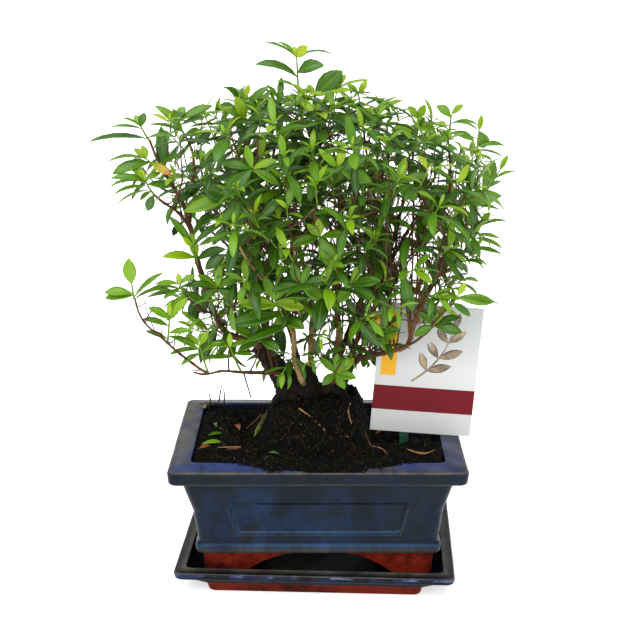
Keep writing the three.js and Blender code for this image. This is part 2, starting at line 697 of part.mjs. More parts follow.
function leafOnSoil({ place: [x, y], heading, length, width }, grow = 0) {
  const turn = THREE.MathUtils.degToRad(heading);
  const ahead = new THREE.Vector3(Math.cos(turn), Math.sin(turn), 0);
  const base = new THREE.Vector3(x, y, soilTop(x, y) + 0.9);
  return makeLeaf({ base, ahead, up: new THREE.Vector3(0, 0, 1), length, width, droop: 0, grow });
}

const litter = {
  surface_root: {
    make: tubeOnSoil,
    places: [[-27, -5], [-30.2, -8], [-33.6, -12]],
    radii: [1.4, 1],
    colour: "trunk",
  },
  dry_twig: {
    make: tubeOnSoil,
    places: [[45.5, -23.5], [53, -31], [60, -27]],
    radii: [0.6, 0.4],
    colour: "bark",
  },
  fallen_leaf_brown: {
    make: leafOnSoil,
    place: [-42, 3],
    heading: 105,
    length: 12,
    width: 4,
    colour: "dryLeaf",
  },
  fallen_leaf_green: {
    make: leafOnSoil,
    place: [-61, -16.5],
    heading: 22,
    length: 12,
    width: 4,
    colour: "leaf",
  },
};

const placed = []; // every piece near which a leaf may not grow, with its box and the piece it belongs to

function place(owner, solid) {
  const { min, max } = solid.boundingBox();
  placed.push({ owner, solid, box: new THREE.Box3(new THREE.Vector3(...min), new THREE.Vector3(...max)) });
}

function isClear(solid, owner) {
  const { min, max } = solid.boundingBox();
  const box = new THREE.Box3(new THREE.Vector3(...min), new THREE.Vector3(...max));
  return placed.every(
    (other) =>
      other.owner === owner ||
      !other.box.intersectsBox(box) ||
      other.solid.intersect(solid).volume() <= 0,
  );
}

const bonsai = new THREE.Group();
const add = (name, solid, material) => bonsai.add(meshOf(name, solid, material));

add("drip_tray", makeTray(), colours.darkGlaze);
add("pot", makePot(), colours.glaze);
add("drainage_mesh_left", makeDrainageMesh(-drain.x), colours.mesh);
add("drainage_mesh_right", makeDrainageMesh(drain.x), colours.mesh);

let soilSolid = makeSoil().subtract(makeTrunk(gap)).subtract(makeStake(gap));
for (const [name, piece] of Object.entries(litter)) {
  soilSolid = soilSolid.subtract(piece.make(piece, gap));
  add(name, piece.make(piece), colours[piece.colour]);
}
add("soil", soilSolid, colours.soil);
add("trunk", makeTrunk(0), colours.trunk);
add("plant_label", makeCard(), colours.card);
add("label_stake", makeStake(), colours.stake);
place("soil", soilSolid);
place("trunk", makeTrunk(0));
place("plant_label", makeCard());
place("label_stake", makeStake());

const stems = [...new Set(Object.values(branches).map((branch) => branch.stem))];
for (const stem of stems) {
  const solid = makeStem(stem).subtract(makeTrunk(gap));
  add(stem, solid, colours.bark);
  place(stem, solid);
}

// The green stems first, so that no leaf crosses one, then the leaves that are clear of everything else.
const shootSolids = {};
for (const [name, shoot] of Object.entries(shoots)) {
  const parent = branches[shoot.from[0]].stem;
  shootSolids[name] = makeShootStem(shoot).subtract(makeStem(parent, gap));
  place(name, shootSolids[name]);
}
Object.entries(shoots).forEach(([name, shoot], index) => {
  for (const leaf of leavesOf(shoot, 10 * index)) {
    if (!isClear(makeLeaf({ ...leaf, grow: gap }), name)) continue;
    const solid = makeLeaf(leaf);
    shootSolids[name] = shootSolids[name].add(solid);
    place(name, solid);
  }
  add(name, shootSolids[name], colours.leaf);
});

export default bonsai;
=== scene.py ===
# A serissa grown as an indoor bonsai: glazed pot on its drip tray, soil, trunk, stems, leafy shoots, label.
# Numbers are millimetres and degrees unless a note says otherwise. The front faces -Y.
from functools import partial
import bpy
import numpy as np
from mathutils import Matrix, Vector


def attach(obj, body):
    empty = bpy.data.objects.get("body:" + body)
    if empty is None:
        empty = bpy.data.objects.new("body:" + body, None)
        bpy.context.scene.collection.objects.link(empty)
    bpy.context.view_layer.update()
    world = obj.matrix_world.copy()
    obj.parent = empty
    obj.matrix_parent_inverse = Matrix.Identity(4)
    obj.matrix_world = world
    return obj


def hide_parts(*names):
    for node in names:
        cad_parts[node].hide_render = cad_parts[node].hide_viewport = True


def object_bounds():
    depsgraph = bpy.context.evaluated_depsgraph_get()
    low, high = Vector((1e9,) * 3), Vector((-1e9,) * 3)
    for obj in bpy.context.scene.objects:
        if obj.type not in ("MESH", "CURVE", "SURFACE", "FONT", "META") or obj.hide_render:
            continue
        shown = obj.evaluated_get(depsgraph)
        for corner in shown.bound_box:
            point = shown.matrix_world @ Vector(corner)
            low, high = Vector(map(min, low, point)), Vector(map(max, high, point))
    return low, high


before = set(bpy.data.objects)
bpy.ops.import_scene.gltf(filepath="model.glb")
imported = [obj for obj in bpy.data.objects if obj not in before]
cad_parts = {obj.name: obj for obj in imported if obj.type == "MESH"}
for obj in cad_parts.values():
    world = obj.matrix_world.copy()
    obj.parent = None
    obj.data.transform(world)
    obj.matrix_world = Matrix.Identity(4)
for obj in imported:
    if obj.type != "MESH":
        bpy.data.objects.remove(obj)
cadBounds = [list(corner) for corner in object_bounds()]
mm = 0.001
seeded = np.random.default_rng(11)
print("frame loaded:", len(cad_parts), "nodes")


def linear(hexColour):  # sRGB hex to linear RGBA
    c = np.array([int(hexColour[i:i + 2], 16) for i in (1, 3, 5)]) / 255
    c = np.where(c <= 0.04045, c / 12.92, ((c + 0.055) / 1.055) ** 2.4)
    return (*c.tolist(), 1.0)


def addNode(tree, kind, settings={}, links={}, out=0):
    # One node with its settings and what feeds its sockets. It gives back the output that other nodes read.
    made = tree.nodes.new("ShaderNode" + kind)
    if kind == "Mix":  # each mix here is of two colours
        made.data_type = "RGBA"
        out = 2
    for key, value in settings.items():
        if key == "stops":
            ends = made.color_ramp.elements
            for index, (place, colour) in enumerate(value):
                stop = ends[index] if index < 2 else ends.new(place)
                stop.position = place
                stop.color = linear(colour)
        elif isinstance(key, int) or key in made.inputs:
            made.inputs[key].default_value = value
        else:
            setattr(made, key, value)
    for key, source in links.items():
        tree.links.new(source, made.inputs[key])
    return made.outputs[out] if made.outputs else made


def startMaterial(name):  # an empty material, the way to add to it, and the place that its patterns read
    material = bpy.data.materials.new(name)
    material.use_nodes = True
    material.node_tree.nodes.clear()
    add = partial(addNode, material.node_tree)
    return material, add, add("TexCoord", out="Object")


def finishMaterial(material, add, settings, links):  # what is the same all over, then what patterns feed
    add("OutputMaterial", links={"Surface": add("BsdfPrincipled", settings, links)})
    return material


def mottledMaterial(name, noise, stops, settings, relief=None, pores=None):
    # One noise of that scale and detail tints the surface. A relief is the strength and depth of a bump. It
    # follows the same noise unless pores give a scale and detail of their own.
    material, add, place = startMaterial(name)
    tone = add("TexNoise", {"Scale": noise[0], "Detail": noise[1]}, {"Vector": place})
    links = {"Base Color": add("ValToRGB", {"stops": stops}, {"Fac": tone})}
    if pores:
        tone = add("TexNoise", {"Scale": pores[0], "Detail": pores[1]}, {"Vector": place})
    if relief:
        links["Normal"] = add("Bump", {"Strength": relief[0], "Distance": relief[1] * mm}, {"Height": tone})
    if "Emission Strength" in settings:
        links["Emission Color"] = links["Base Color"]
    return finishMaterial(material, add, settings, links)


# Camera: fitted to the corners of pot and tray. The eye's place also serves to place the plant.
camera = {"distance": 647, "height": 323, "aimHeight": 132.9, "side": 0.9, "lens": 73.1, "sensor": 36}


def placeCamera():  # it looks along +Y, tipped down by arctan((height - aim height) / distance)
    data = bpy.data.cameras.new("camera")
    data.lens = camera["lens"]
    data.sensor_width = camera["sensor"]
    held = bpy.data.objects.new("camera", data)
    held.location = (camera["side"] * mm, -camera["distance"] * mm, camera["height"] * mm)
    tilt = np.arctan2(camera["height"] - camera["aimHeight"], camera["distance"])
    held.rotation_euler = (np.pi / 2 - tilt, 0, 0)
    bpy.context.scene.collection.objects.link(held)
    bpy.context.scene.camera = held


studio = {
    "floorSize": 80000,
    "sky": 0.72,
    "sun": {"strength": 2.2, "spread": 60, "height": 60, "side": -20},  # a broad window light, front left
    "floorGlow": 0.62,  # keeps the paper white under the plant, like a lit table
}


def buildStudio():
    # seamless white studio paper: flat, faintly fibrous, no gloss
    look = {"Roughness": 0.95, "Specular IOR Level": 0.1, "Emission Strength": studio["floorGlow"]}
    paper = mottledMaterial("studioPaper", (40, 3), [(0.3, "#f8f8f8"), (0.7, "#fcfcfc")], look)
    half = studio["floorSize"] * mm / 2
    corners = [(-half, -half, 0), (half, -half, 0), (half, half, 0), (-half, half, 0)]
    mesh = bpy.data.meshes.new("floor")
    mesh.from_pydata(corners, [], [(0, 1, 2, 3)])
    mesh.materials.append(paper)
    floor = bpy.data.objects.new("floor", mesh)
    bpy.context.scene.collection.objects.link(floor)
    world = bpy.data.worlds.new("studio")
    bpy.context.scene.world = world
    world.use_nodes = True
    sky = world.node_tree.nodes["Background"].inputs
    sky["Color"].default_value = (1, 1, 1, 1)
    sky["Strength"].default_value = studio["sky"]
    spec = studio["sun"]
    data = bpy.data.lights.new("windowLight", "SUN")
    data.energy = spec["strength"]
    data.angle = np.radians(spec["spread"])
    lamp = bpy.data.objects.new("windowLight", data)
    lamp.rotation_euler = (np.radians(90 - spec["height"]), 0, np.radians(spec["side"]))
    bpy.context.scene.collection.objects.link(lamp)
    view = bpy.context.scene.view_settings
    view.view_transform = "Standard"
    view.look = "None"


def unit(v):  # v / |v|
    return v / np.linalg.norm(v, axis=-1, keepdims=True)


def ease(low, high, v):  # smooth step from 0 at low to 1 at high
    t = np.clip((v - low) / (high - low), 0, 1)
    return t * t * (3 - 2 * t)


def softLine(v, middle, reach):  # exp(-((v - middle) / reach)^2): 1 at the middle, fading out over the reach
    return np.exp(-((v - middle) / reach) ** 2)


def turned(points, angle):  # about the upright axis: x cos - y sin, x sin + y cos
    c, s = np.cos(angle), np.sin(angle)
    x, y, z = np.moveaxis(points, -1, 0)
    return np.stack([c * x - s * y, s * x + c * y, z], -1)


def lumps(points, size, seed):  # value noise, -1 to 1: random numbers on a lattice of that size, blended
    p = np.asarray(points, float) / size
    cell = np.floor(p).astype(np.int64)
    f = p - cell
    f = f * f * (3 - 2 * f)
    total = np.zeros(p.shape[:-1])
    for corner in np.ndindex(2, 2, 2):
        key = ((cell + corner) * (73856093, 19349663, 83492791)).sum(-1) + seed * 7919
        key = (key ^ (key >> 13)) * 1274126177 & 0x7fffffff
        weight = np.where(corner, f, 1 - f).prod(-1)
        total += weight * ((key >> 8) % 4096) / 2048
    return total - 1


def shellFaces(shells, rings, around, start=0):  # quads round each closed shell, and a cap over each end
    j = np.arange(around)
    step = (np.arange(rings - 1) * around)[:, None]
    after = (j + 1) % around
    quads = np.stack([step + j, step + after, step + around + after, step + around + j], -1)
    caps = np.stack([j[::-1], (rings - 1) * around + j])
    first = start + (np.arange(shells) * rings * around)[:, None, None]
    return ((quads.reshape(-1, 4)[None] + first).reshape(-1, 4).tolist()
            + (caps[None] + first).reshape(-1, around).tolist())


def makePiece(name, points, materials, values={}, replaces=(), faces=None, picks=None, smooth=True):
    # The points are closed shells (shell, ring, place round it, xyz) where no faces are given
    mesh = bpy.data.meshes.new(name)
    faces = faces or shellFaces(*points.shape[:3])
    mesh.from_pydata((np.asarray(points).reshape(-1, 3) * mm).tolist(), [], faces)
    for key, value in values.items():
        kept = mesh.attributes.new(key, "FLOAT", "POINT")
        kept.data.foreach_set("value", np.asarray(value, np.float32).ravel())
    for material in materials:
        mesh.materials.append(material)
    if picks is not None:
        mesh.polygons.foreach_set("material_index", picks)
    mesh.polygons.foreach_set("use_smooth", [smooth] * len(mesh.polygons))
    mesh.update()
    piece = bpy.data.objects.new(name, mesh)
    bpy.context.scene.collection.objects.link(piece)
    if replaces:
        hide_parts(*replaces)
    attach(piece, "root")
    return piece


# Pot and tray. Each ring of their section is half a length, half a depth, a corner radius and a height.
pot = {
    "rings": [
        (52.2, 32.2, 4, 21), (53, 33, 4, 7.1), (58.7, 38.7, 4, 7.1), (59.5, 39.5, 4, 20.2),
        (62.6, 42.6, 4, 20.9), (63, 43, 4, 25.3), (61.5, 41.6, 4, 26.5), (63.4, 43.1, 4, 44),
        (68.8, 47.9, 4, 62.5), (74.4, 53.5, 4, 62.8), (75, 54.1, 4, 69.2), (74.4, 53.5, 4, 70),
        (64, 43.1, 4, 71.4), (63.2, 42.3, 4, 62.5), (58.6, 38.3, 4, 44), (56.7, 36.8, 4, 26),
    ],
    "step": 0.57,
    "columns": (41, (0.7, 0.81, 17), (0.34, 0.7, 16)), "endColumns": (31, (0.65, 0.75, 13), (0.3, 0.65, 10)),
    "footTop": 20.2, "footBottom": 7.1,
    "panelTop": 49.8, "panelBottom": 31.6, "panelTopHalf": 45.6, "panelBottomHalf": 41.4, "panelEnds": 0.6,
    "panelRecess": 1.2, "panelSlope": 1.5, "panelLip": 0.35,
    "archTop": 20, "archHalf": 39, "archPower": 2.6, "archEnds": 0.6,
    "drainX": 34, "drainRadius": 5.5,
    "wobble": 0.22, "wobbleFrom": 27, "rimEdge": 69.75, "rimUnder": 63.1, "rimFront": -42,
    # the neck is the height range of the painted shade under the rim
    "lipCrease": 25.2, "lipUnder": 24.6, "neck": (56.5, 61.5),
    "clayLine": 20.6, "roughness": 0.2,
    "colours": {
        "body": [(0.36, "#091522"), (0.47, "#0c1f33"), (0.56, "#112a4a"), (0.66, "#101c28")],
        "streak": [(0.3, "#99a2b0"), (0.62, "#ffffff")],
        # edge: thin glaze with painted highlights; pale blue: painted highlights; ash: grey glaze and painted
        # shade
        "edge": "#57534a", "speck": "#34404c", "pool": "#2c4f74", "ash": "#111618", "bloom": "#32417a",
        # the same red clay as the tray's, painted lighter to make up for the shade over the pot's feet
        "clay": [(0.3, "#4c1209"), (0.5, "#802112"), (0.72, "#9a3520")],
    },
}
tray = {
    "rings": [
        (48.5, 39.5, 3, 1.5), (49.3, 40.3, 3, 0), (54.5, 45.5, 3.5, 0), (55.6, 46.6, 3.5, 4.6),
        (67.3, 48.3, 3.5, 8.2), (71.2, 52.2, 3.5, 9.2), (71.8, 52.8, 3.5, 12.8), (65.5, 46.5, 3, 13.6),
        (64.5, 45.5, 3, 6.8),
    ],
    "step": 0.5, "columns": 121, "endColumns": 73,
    "wobble": 0.15, "wobbleFrom": 5,
    "turn": -2.7,  # it stands askew under the pot
    "clayLine": 5.2, "roughness": 0.14,
    "colours": {
        "body": [(0.35, "#030407"), (0.52, "#080b14"), (0.68, "#101a38")],
        "streak": [(0.3, "#909090"), (0.6, "#ffffff")],
        # edge: thin glaze with a painted highlight; the pale blue is for painted glints
        "edge": "#5c584f", "speck": "#2a3358", "pool": "#7183ac", "ash": "#101213", "bloom": "#222f58",
        "clay": [(0.3, "#380f08"), (0.5, "#651a0d"), (0.72, "#7e2916")],
    },
}


def sectionRows(rings, step, passes=2):  # the section in even steps, its corners rounded by averaging
    rings = np.array(rings, float)
    length = np.concatenate([[0], np.cumsum(np.linalg.norm(np.diff(rings[:, [1, 3]], axis=0), axis=1))])
    at = np.linspace(0, length[-1], int(length[-1] / step))
    rows = np.stack([np.interp(at, length, rings[:, k]) for k in range(4)], -1)
    for _ in range(passes):
        rows[1:-1] = 0.5 * rows[1:-1] + 0.25 * (rows[:-2] + rows[2:])
    return rows


def columnShares(count, *bands):  # even shares of a side, -1 to 1, and closer ones in bands on either half
    fine = [np.linspace(low, high, number) for low, high, number in bands]
    return np.unique(np.concatenate([np.linspace(-1, 1, count), *fine, *(-band for band in fine)]).round(4))


def aroundRing(rows, lengthShares, depthShares, corners=8):
    # Columns of a rounded rectangle, anticlockwise from the middle of the right end: a straight side by
    # shares of its half length, then a quarter circle, and the same turned by 90, 180 and 270 degrees.
    quarter = np.linspace(0, np.pi / 2, corners + 1)[1:-1]
    corner = [np.ones_like(quarter), np.ones_like(quarter), np.cos(quarter), np.sin(quarter)]
    parts = []
    for shares, (c, s) in zip((depthShares, lengthShares) * 2, ((1, 0), (0, 1), (-1, 0), (0, -1))):
        side = [np.ones_like(shares), shares, np.ones_like(shares), np.zeros_like(shares)]
        x, y, outX, outY = np.concatenate([side, corner], axis=1)
        parts.append([c * x - s * y, s * x + c * y, c * outX - s * outY, s * outX + c * outY])
    cx, cy, nx, ny = np.concatenate(parts, axis=1)
    length, depth, radius, z = (rows[:, k][:, None] for k in range(4))
    x = (length - radius) * cx + radius * nx
    y = (depth - radius) * cy + radius * ny
    return np.stack([x, y, z + 0 * x], -1), np.stack([nx, ny], -1)


def inPanel(across, z, share):  # how deep inside the panel's outline a place lies, below 0 outside
    heights, halves = (pot["panelBottom"], pot["panelTop"]), (pot["panelBottomHalf"], pot["panelTopHalf"])
    half = np.interp(z, heights, halves) * share
    return np.minimum(half - np.abs(across), np.minimum(pot["panelTop"] - z, z - pot["panelBottom"]))


def glazeMaterial(name, spec):
    # Stoneware glaze over red clay: a glassy coat in clouds of blue and slate, pale in the bottom lip's
    # crease where it pooled, thin and brown where it ran off an edge. Painted highlights lie on lit edges and
    # slopes, painted shade under the rim and in the panel's top. The clay stays bare and dull below the glaze
    # line.
    colours = spec["colours"]
    material, add, place = startMaterial(name)
    clouded = {"Scale": 38, "Detail": 6, "Roughness": 0.62, "Distortion": 0.6}
    cloud = add("TexNoise", clouded, {"Vector": place})
    speck = add("TexNoise", {"Scale": 520, "Detail": 4, "Roughness": 0.7}, {"Vector": place})
    runs = add("Mapping", {"Scale": (75, 75, 14)}, {"Vector": place})
    streak = add("TexNoise", {"Scale": 1, "Detail": 6, "Roughness": 0.7}, {"Vector": runs})
    body = add("ValToRGB", {"stops": colours["body"]}, {"Fac": cloud})
    shade = add("ValToRGB", {"stops": colours["streak"]}, {"Fac": streak})
    glaze = add("Mix", {"blend_type": "MULTIPLY", 0: 1.0}, {6: body, 7: shade})
    # each mask is broken up by the streaks, so that no line is even along the pot
    broken = add("Math", {"operation": "MULTIPLY_ADD", 1: 2.6, 2: -0.6, "use_clamp": True}, {0: streak})
    # the masks mix in grey glaze with painted shade, bloom, pale painted highlights, and thin glaze with
    # painted highlights
    masks = {key: add("Attribute", {"attribute_name": key}, out="Fac")
             for key in ("ash", "bloom", "pool", "edge")}
    for key, mask in masks.items():
        patchy = add("Math", {"operation": "MULTIPLY", "use_clamp": True}, {0: mask, 1: broken})
        glaze = add("Mix", {7: linear(colours[key])}, {0: patchy, 6: glaze})
    pits = add("ValToRGB", {"stops": [(0.6, "#000000"), (0.72, "#ffffff")]}, {"Fac": speck})
    dotted = add("Math", {"operation": "MULTIPLY", 1: 0.3}, {0: pits})
    glaze = add("Mix", {7: linear(colours["speck"])}, {0: dotted, 6: glaze})
    # red clay, coarse to the touch and sooty in places, below a line that wanders by 0.8 mm up and down
    grit = add("TexNoise", {"Scale": 900, "Detail": 6, "Roughness": 0.7}, {"Vector": place})
    fired = add("ValToRGB", {"stops": colours["clay"]}, {"Fac": grit})
    stain = add("TexNoise", {"Scale": 55, "Detail": 4, "Roughness": 0.6}, {"Vector": place})
    sooty = add("ValToRGB", {"stops": [(0.36, "#8a8078"), (0.56, "#ffffff")]}, {"Fac": stain})
    clay = add("Mix", {"blend_type": "MULTIPLY", 0: 1.0}, {6: fired, 7: sooty})
    wander = add("Math", {"operation": "MULTIPLY_ADD", 1: 1.6 * mm, 2: -0.8 * mm}, {0: cloud})
    level = add("SeparateXYZ", links={"Vector": place}, out="Z")
    height = add("Math", {"operation": "ADD"}, {0: level, 1: wander})
    low, high = (spec["clayLine"] - 0.35) * mm, (spec["clayLine"] + 0.35) * mm
    bare = add("MapRange", {"From Min": low, "From Max": high, "To Min": 1, "To Max": 0}, {"Value": height})
    gloss = add("MapRange", {"To Min": spec["roughness"], "To Max": 0.85}, {"Value": bare})
    relief = add("Math", {"operation": "MULTIPLY_ADD", 1: 0.25}, {0: grit, 2: cloud})
    return finishMaterial(material, add, {"IOR": 1.5, "Specular IOR Level": 0.12}, {
        "Base Color": add("Mix", {}, {0: bare, 6: glaze, 7: clay}),
        "Roughness": add("Math", {"operation": "MULTIPLY_ADD", 1: 0.2}, {0: masks["ash"], 2: gloss}),
        "Normal": add("Bump", {"Strength": 0.4, "Distance": 0.8 * mm}, {"Height": relief}),
    })


def cutDrains(piece):  # the two drain holes, cut with cylinders that aren't kept
    for x in (-pot["drainX"], pot["drainX"]):
        bpy.ops.mesh.primitive_cylinder_add(vertices=48, radius=pot["drainRadius"] * mm, depth=20 * mm,
                                            location=(x * mm, 0, 24 * mm))
        drill = bpy.context.object
        cut = piece.modifiers.new("drain", "BOOLEAN")
        cut.operation = "DIFFERENCE"
        cut.solver = "EXACT"
        cut.object = drill
        bpy.context.view_layer.objects.active = piece
        bpy.ops.object.modifier_apply(modifier=cut.name)
        bpy.data.objects.remove(drill)


def buildPot():
    # the section swept round its outline, with arches between the feet and a panel pressed into each wall
    rows = sectionRows(pot["rings"], pot["step"])
    points, out = aroundRing(rows, columnShares(*pot["columns"]), columnShares(*pot["endColumns"]))
    x, y, z = points[..., 0], points[..., 1], points[..., 2]
    facing = np.abs(out[None, :, 1]) > 0.5  # columns of the front and back, the others are the ends'
    across = np.where(facing, x, y)
    # arches: the foot's wall ends higher where the outline rises between the feet, in a flat arch
    archHalf = pot["archHalf"] * np.where(facing, 1, pot["archEnds"])
    rise = 1 - np.minimum(1, np.abs(across) / archHalf) ** pot["archPower"]
    lowest = pot["footBottom"] + (pot["archTop"] - pot["footBottom"]) * rise
    shrink = (pot["footTop"] - lowest) / (pot["footTop"] - pot["footBottom"])
    z[:] = np.where(z < pot["footTop"], pot["footTop"] - (pot["footTop"] - z) * shrink, z)
    # panels: a recess with a thin raised lip round it, on the outer wall only
    order = np.arange(len(rows))[:, None]
    outer = (order > rows[:, 3].argmin()) & (order < rows[:, 0].argmax())
    flat = outer & (np.abs(out[None, :, :]).max(-1) > 0.999)
    depth = inPanel(across, z, np.where(facing, 1, pot["panelEnds"]))
    recess = pot["panelRecess"] * ease(0, pot["panelSlope"], depth)
    recess -= pot["panelLip"] * softLine(depth, -0.8, 0.6)
    hand = pot["wobble"] * (lumps(points, 26, 3) + 0.5 * lumps(points, 11, 4)) * (z > pot["wobbleFrom"])
    points[..., :2] += out[None] * (hand - np.where(flat, recess, 0))[..., None]
    # where the glaze differs, and where highlights and shade are painted on
    wide, tall = rows[:, 0][:, None], rows[:, 3][:, None]
    front = ease(pot["rimFront"], pot["rimFront"] - 2, y)
    onRim = ease(69.8, 70.3, z)
    violet = front * ease(10, -25, x)  # the rim's front left has the clearest bloom
    masks = {
        "edge": np.maximum.reduce([  # thin and brown where the glaze ran off, plus painted highlights
            # painted highlight along the rim's top edge, over glaze that thins there
            1.2 * softLine(z, pot["rimEdge"], 0.5) * (np.abs(wide - 74.5) < 1.2),
            0.5 * softLine(z, pot["rimUnder"], 0.6) * (wide > 72),
            0.45 * ease(pot["lipUnder"], pot["lipUnder"] - 1, z) * (wide > 61),
            # the panel's raised lip: thin glaze with a painted highlight, left out at its shaded top
            0.3 * softLine(depth, -0.8, 0.5) * flat * (z < pot["panelTop"] - 3),
            # patches on the rim's top, most at its left end and back
            ease(69.9, 70.4, z) * (1 - 0.85 * violet)
            * (0.25 + 0.5 * ease(-60, -72, x) + 0.5 * ease(46, 52, y) + 0.6 * lumps(points, 9, 12)),
        ]).clip(0, 1.2),
        "pool": np.maximum(  # painted highlight: the lip's upper edge (where glaze also pools), the panel's lit lower and left slopes
            softLine(z, pot["lipCrease"], 0.6) * (wide > 61.8),
            0.75 * softLine(depth, 0.8, 0.45) * flat * ((z < pot["panelBottom"] + 2) | (across < -30)),
        ),
        "ash": np.maximum.reduce([  # grey: the rim's upright face, wall clouds, most at its right end; painted shade under rim and panel top
            0.95 * ((wide > 72) & (tall < 69)) * ease(62, 63.5, z),
            outer * (0.22 + 0.35 * lumps(points, 22, 5) + 0.6 * ease(10, 55, x) + 0.35 * ease(-52, -64, x)),
            onRim * front * ease(-45, 10, x),  # darker on the rim's front right
            # painted shade: the wall just under the rim's overhang is darkened
            outer * 1.1 * ease(*pot["neck"], z) * (wide < 72),
            # painted shade on the panel's upper slope, where the recess is in shadow
            1.1 * softLine(depth, 0.3, 0.7) * flat * (z > pot["panelTop"] - 3),
        ]).clip(0, 1),
        # violet, on the rim
        "bloom": (onRim * (0.55 + 1.1 * lumps(points, 15, 6) + 0.8 * violet)).clip(0, 1),
    }
    piece = makePiece("pot_glazed", points[None], [glazeMaterial("cobaltGlazedStoneware", pot)],
                      {key: mask * np.ones_like(z) for key, mask in masks.items()}, ["pot"])
    cutDrains(piece)


def buildTray():  # the section swept round its outline, the edge a little uneven
    rows = sectionRows(tray["rings"], tray["step"])
    points, out = aroundRing(rows, columnShares(tray["columns"]), columnShares(tray["endColumns"]))
    hand = tray["wobble"] * (lumps(points, 24, 8) + 0.5 * lumps(points, 9, 9))
    points[..., :2] += out[None] * (hand * (points[..., 2] > tray["wobbleFrom"]))[..., None]
    points = turned(points, np.radians(tray["turn"]))
    x, z = points[..., 0], points[..., 2]
    wide, tall = rows[:, 0][:, None], rows[:, 3][:, None]
    inner = np.arange(len(rows))[:, None] > rows[:, 3].argmax()
    face = wide > 71  # the edge's upright face
    masks = {
        # a tan line along the edge's outer and inner top: thin glaze with a painted highlight on it
        "edge": np.maximum(1.2 * softLine(tall, 12.9, 0.32) * face, 0.8 * softLine(tall, 13.5, 0.3))
                * (1 - inner),
        # a patchy dark blue band along the edge's face
        "bloom": softLine(tall, 11.4, 1.2) * face * (0.35 + 1.6 * lumps(points, 7, 7)),
        # glints of pale blue in short runs along the edge's face
        "pool": softLine(tall, 11.9 + 0.3 * lumps(points, 9, 34), 0.42) * face
                * ease(-0.1, 0.5, lumps(points, 4, 33)),
        # darker on the rim's top and at both ends
        "ash": 0.6 * ((wide > 65.4) & (tall > 12.9)) * (0.6 + 0.8 * lumps(points, 20, 17))
               + 0.5 * (np.abs(x) > 66),
    }
    makePiece("drip_tray_glazed", points[None], [glazeMaterial("blackGlazedStoneware", tray)],
              {key: np.clip(mask, 0, 1) * np.ones_like(z) for key, mask in masks.items()}, ["drip_tray"])


# Soil: nearly level at the rim, a mound round the old root ball, crumbs, white grit and fibres on it.
soil = {
    "edge": 70, "mound": 22.1, "moundX": -1.5, "moundY": 2, "left": 31, "right": 28.5, "depth": 33,
    "leftPower": 2.6, "rightPower": 6, "depthPower": 2.4, "ripple": 0.5, "leftDip": 1.2,
    "topLength": 63.5, "topDepth": 42.6, "bottom": 27.4,
    "rings": 120, "around": 300, "wallTop": 60,
    "crumbs": 5600, "spilt": 3000, "grit": 110, "fibres": 320,
    "bank": {"half": 46, "back": -41.4, "front": -53.2, "rimEdge": -43.1, "rimDepth": 10.4, "top": 71.4,
             "fall": 1.4, "reach": 10.6, "thickness": 0.9},
}


def soilTop(x, y):  # the CAD surface: a mound by powers of the distance from its middle, plus a ripple
    side = np.where(x < soil["moundX"], soil["left"], soil["right"])
    power = np.where(x < soil["moundX"], soil["leftPower"], soil["rightPower"])
    across = np.abs((x - soil["moundX"]) / side) ** power
    along = np.abs((y - soil["moundY"]) / soil["depth"]) ** soil["depthPower"]
    mound = 1 - ease(0.35, 1.25, np.sqrt(across + along))
    ripple = soil["ripple"] * np.sin(x * 0.21 + 1) * np.cos(y * 0.26)
    return soil["edge"] + soil["mound"] * mound + ripple - soil["leftDip"] * ease(20, 60, -x)


def roughSoil(x, y):  # the same with clods and crumbs worked in
    flat = np.stack([x, y, 0 * x], -1)
    rough = 1.3 * lumps(flat, 8, 21) + 0.9 * lumps(flat, 3.4, 22) + 0.6 * lumps(flat, 1.5, 23)
    rim = np.maximum(np.abs(x) / soil["topLength"], np.abs(y) / soil["topDepth"])
    return soilTop(x, y) + rough * ease(1.0, 0.92, rim) + 0.4


def soilMaterial():  # moist peat with bark dust and grit: matt, near black, some grains catch the light
    material, add, place = startMaterial("peatSoil")
    clods = add("TexNoise", {"Scale": 260, "Detail": 8, "Roughness": 0.75}, {"Vector": place})
    stops = [(0.36, "#030202"), (0.54, "#070604"), (0.7, "#0d0a07"), (0.86, "#18120c")]
    grains = add("TexVoronoi", {"Scale": 1300, "Randomness": 1}, {"Vector": place}, "Color")
    chosen = add("SeparateXYZ", links={"Vector": grains})  # one grain in ten or so is pale
    pale = add("ValToRGB", {"stops": [(0.9, "#000000"), (0.94, "#ffffff")]}, {"Fac": chosen})
    strength = add("Math", {"operation": "MULTIPLY", 1: 0.08}, {0: pale})
    tint = add("ValToRGB", {"stops": stops}, {"Fac": clods})
    return finishMaterial(material, add, {"Roughness": 0.92, "Specular IOR Level": 0.12}, {
        "Base Color": add("Mix", {7: linear("#9a8468")}, {0: strength, 6: tint}),
        "Normal": add("Bump", {"Strength": 1.0, "Distance": 1.2 * mm}, {"Height": clods}),
    })


# Crumbs are icosahedra: the corners lie on three rectangles of the golden ratio.
golden = 1.618
crumbCorners = unit(np.array([
    (0, 1, golden), (0, -1, golden), (0, 1, -golden), (0, -1, -golden), (1, golden, 0), (-1, golden, 0),
    (1, -golden, 0), (-1, -golden, 0), (golden, 0, 1), (-golden, 0, 1), (golden, 0, -1), (-golden, 0, -1),
]))


def crumbFaces():  # the twenty triangles between corners that are next to each other, each turned outwards
    near = np.linalg.norm(crumbCorners[:, None] - crumbCorners[None], axis=-1) < 1.2
    faces = [(a, b, c) for a in range(12) for b in range(a + 1, 12) for c in range(b + 1, 12)
             if near[a, b] and near[b, c] and near[a, c]]
    return [(a, b, c) if np.linalg.det(crumbCorners[[a, b, c]]) > 0 else (a, c, b) for a, b, c in faces]


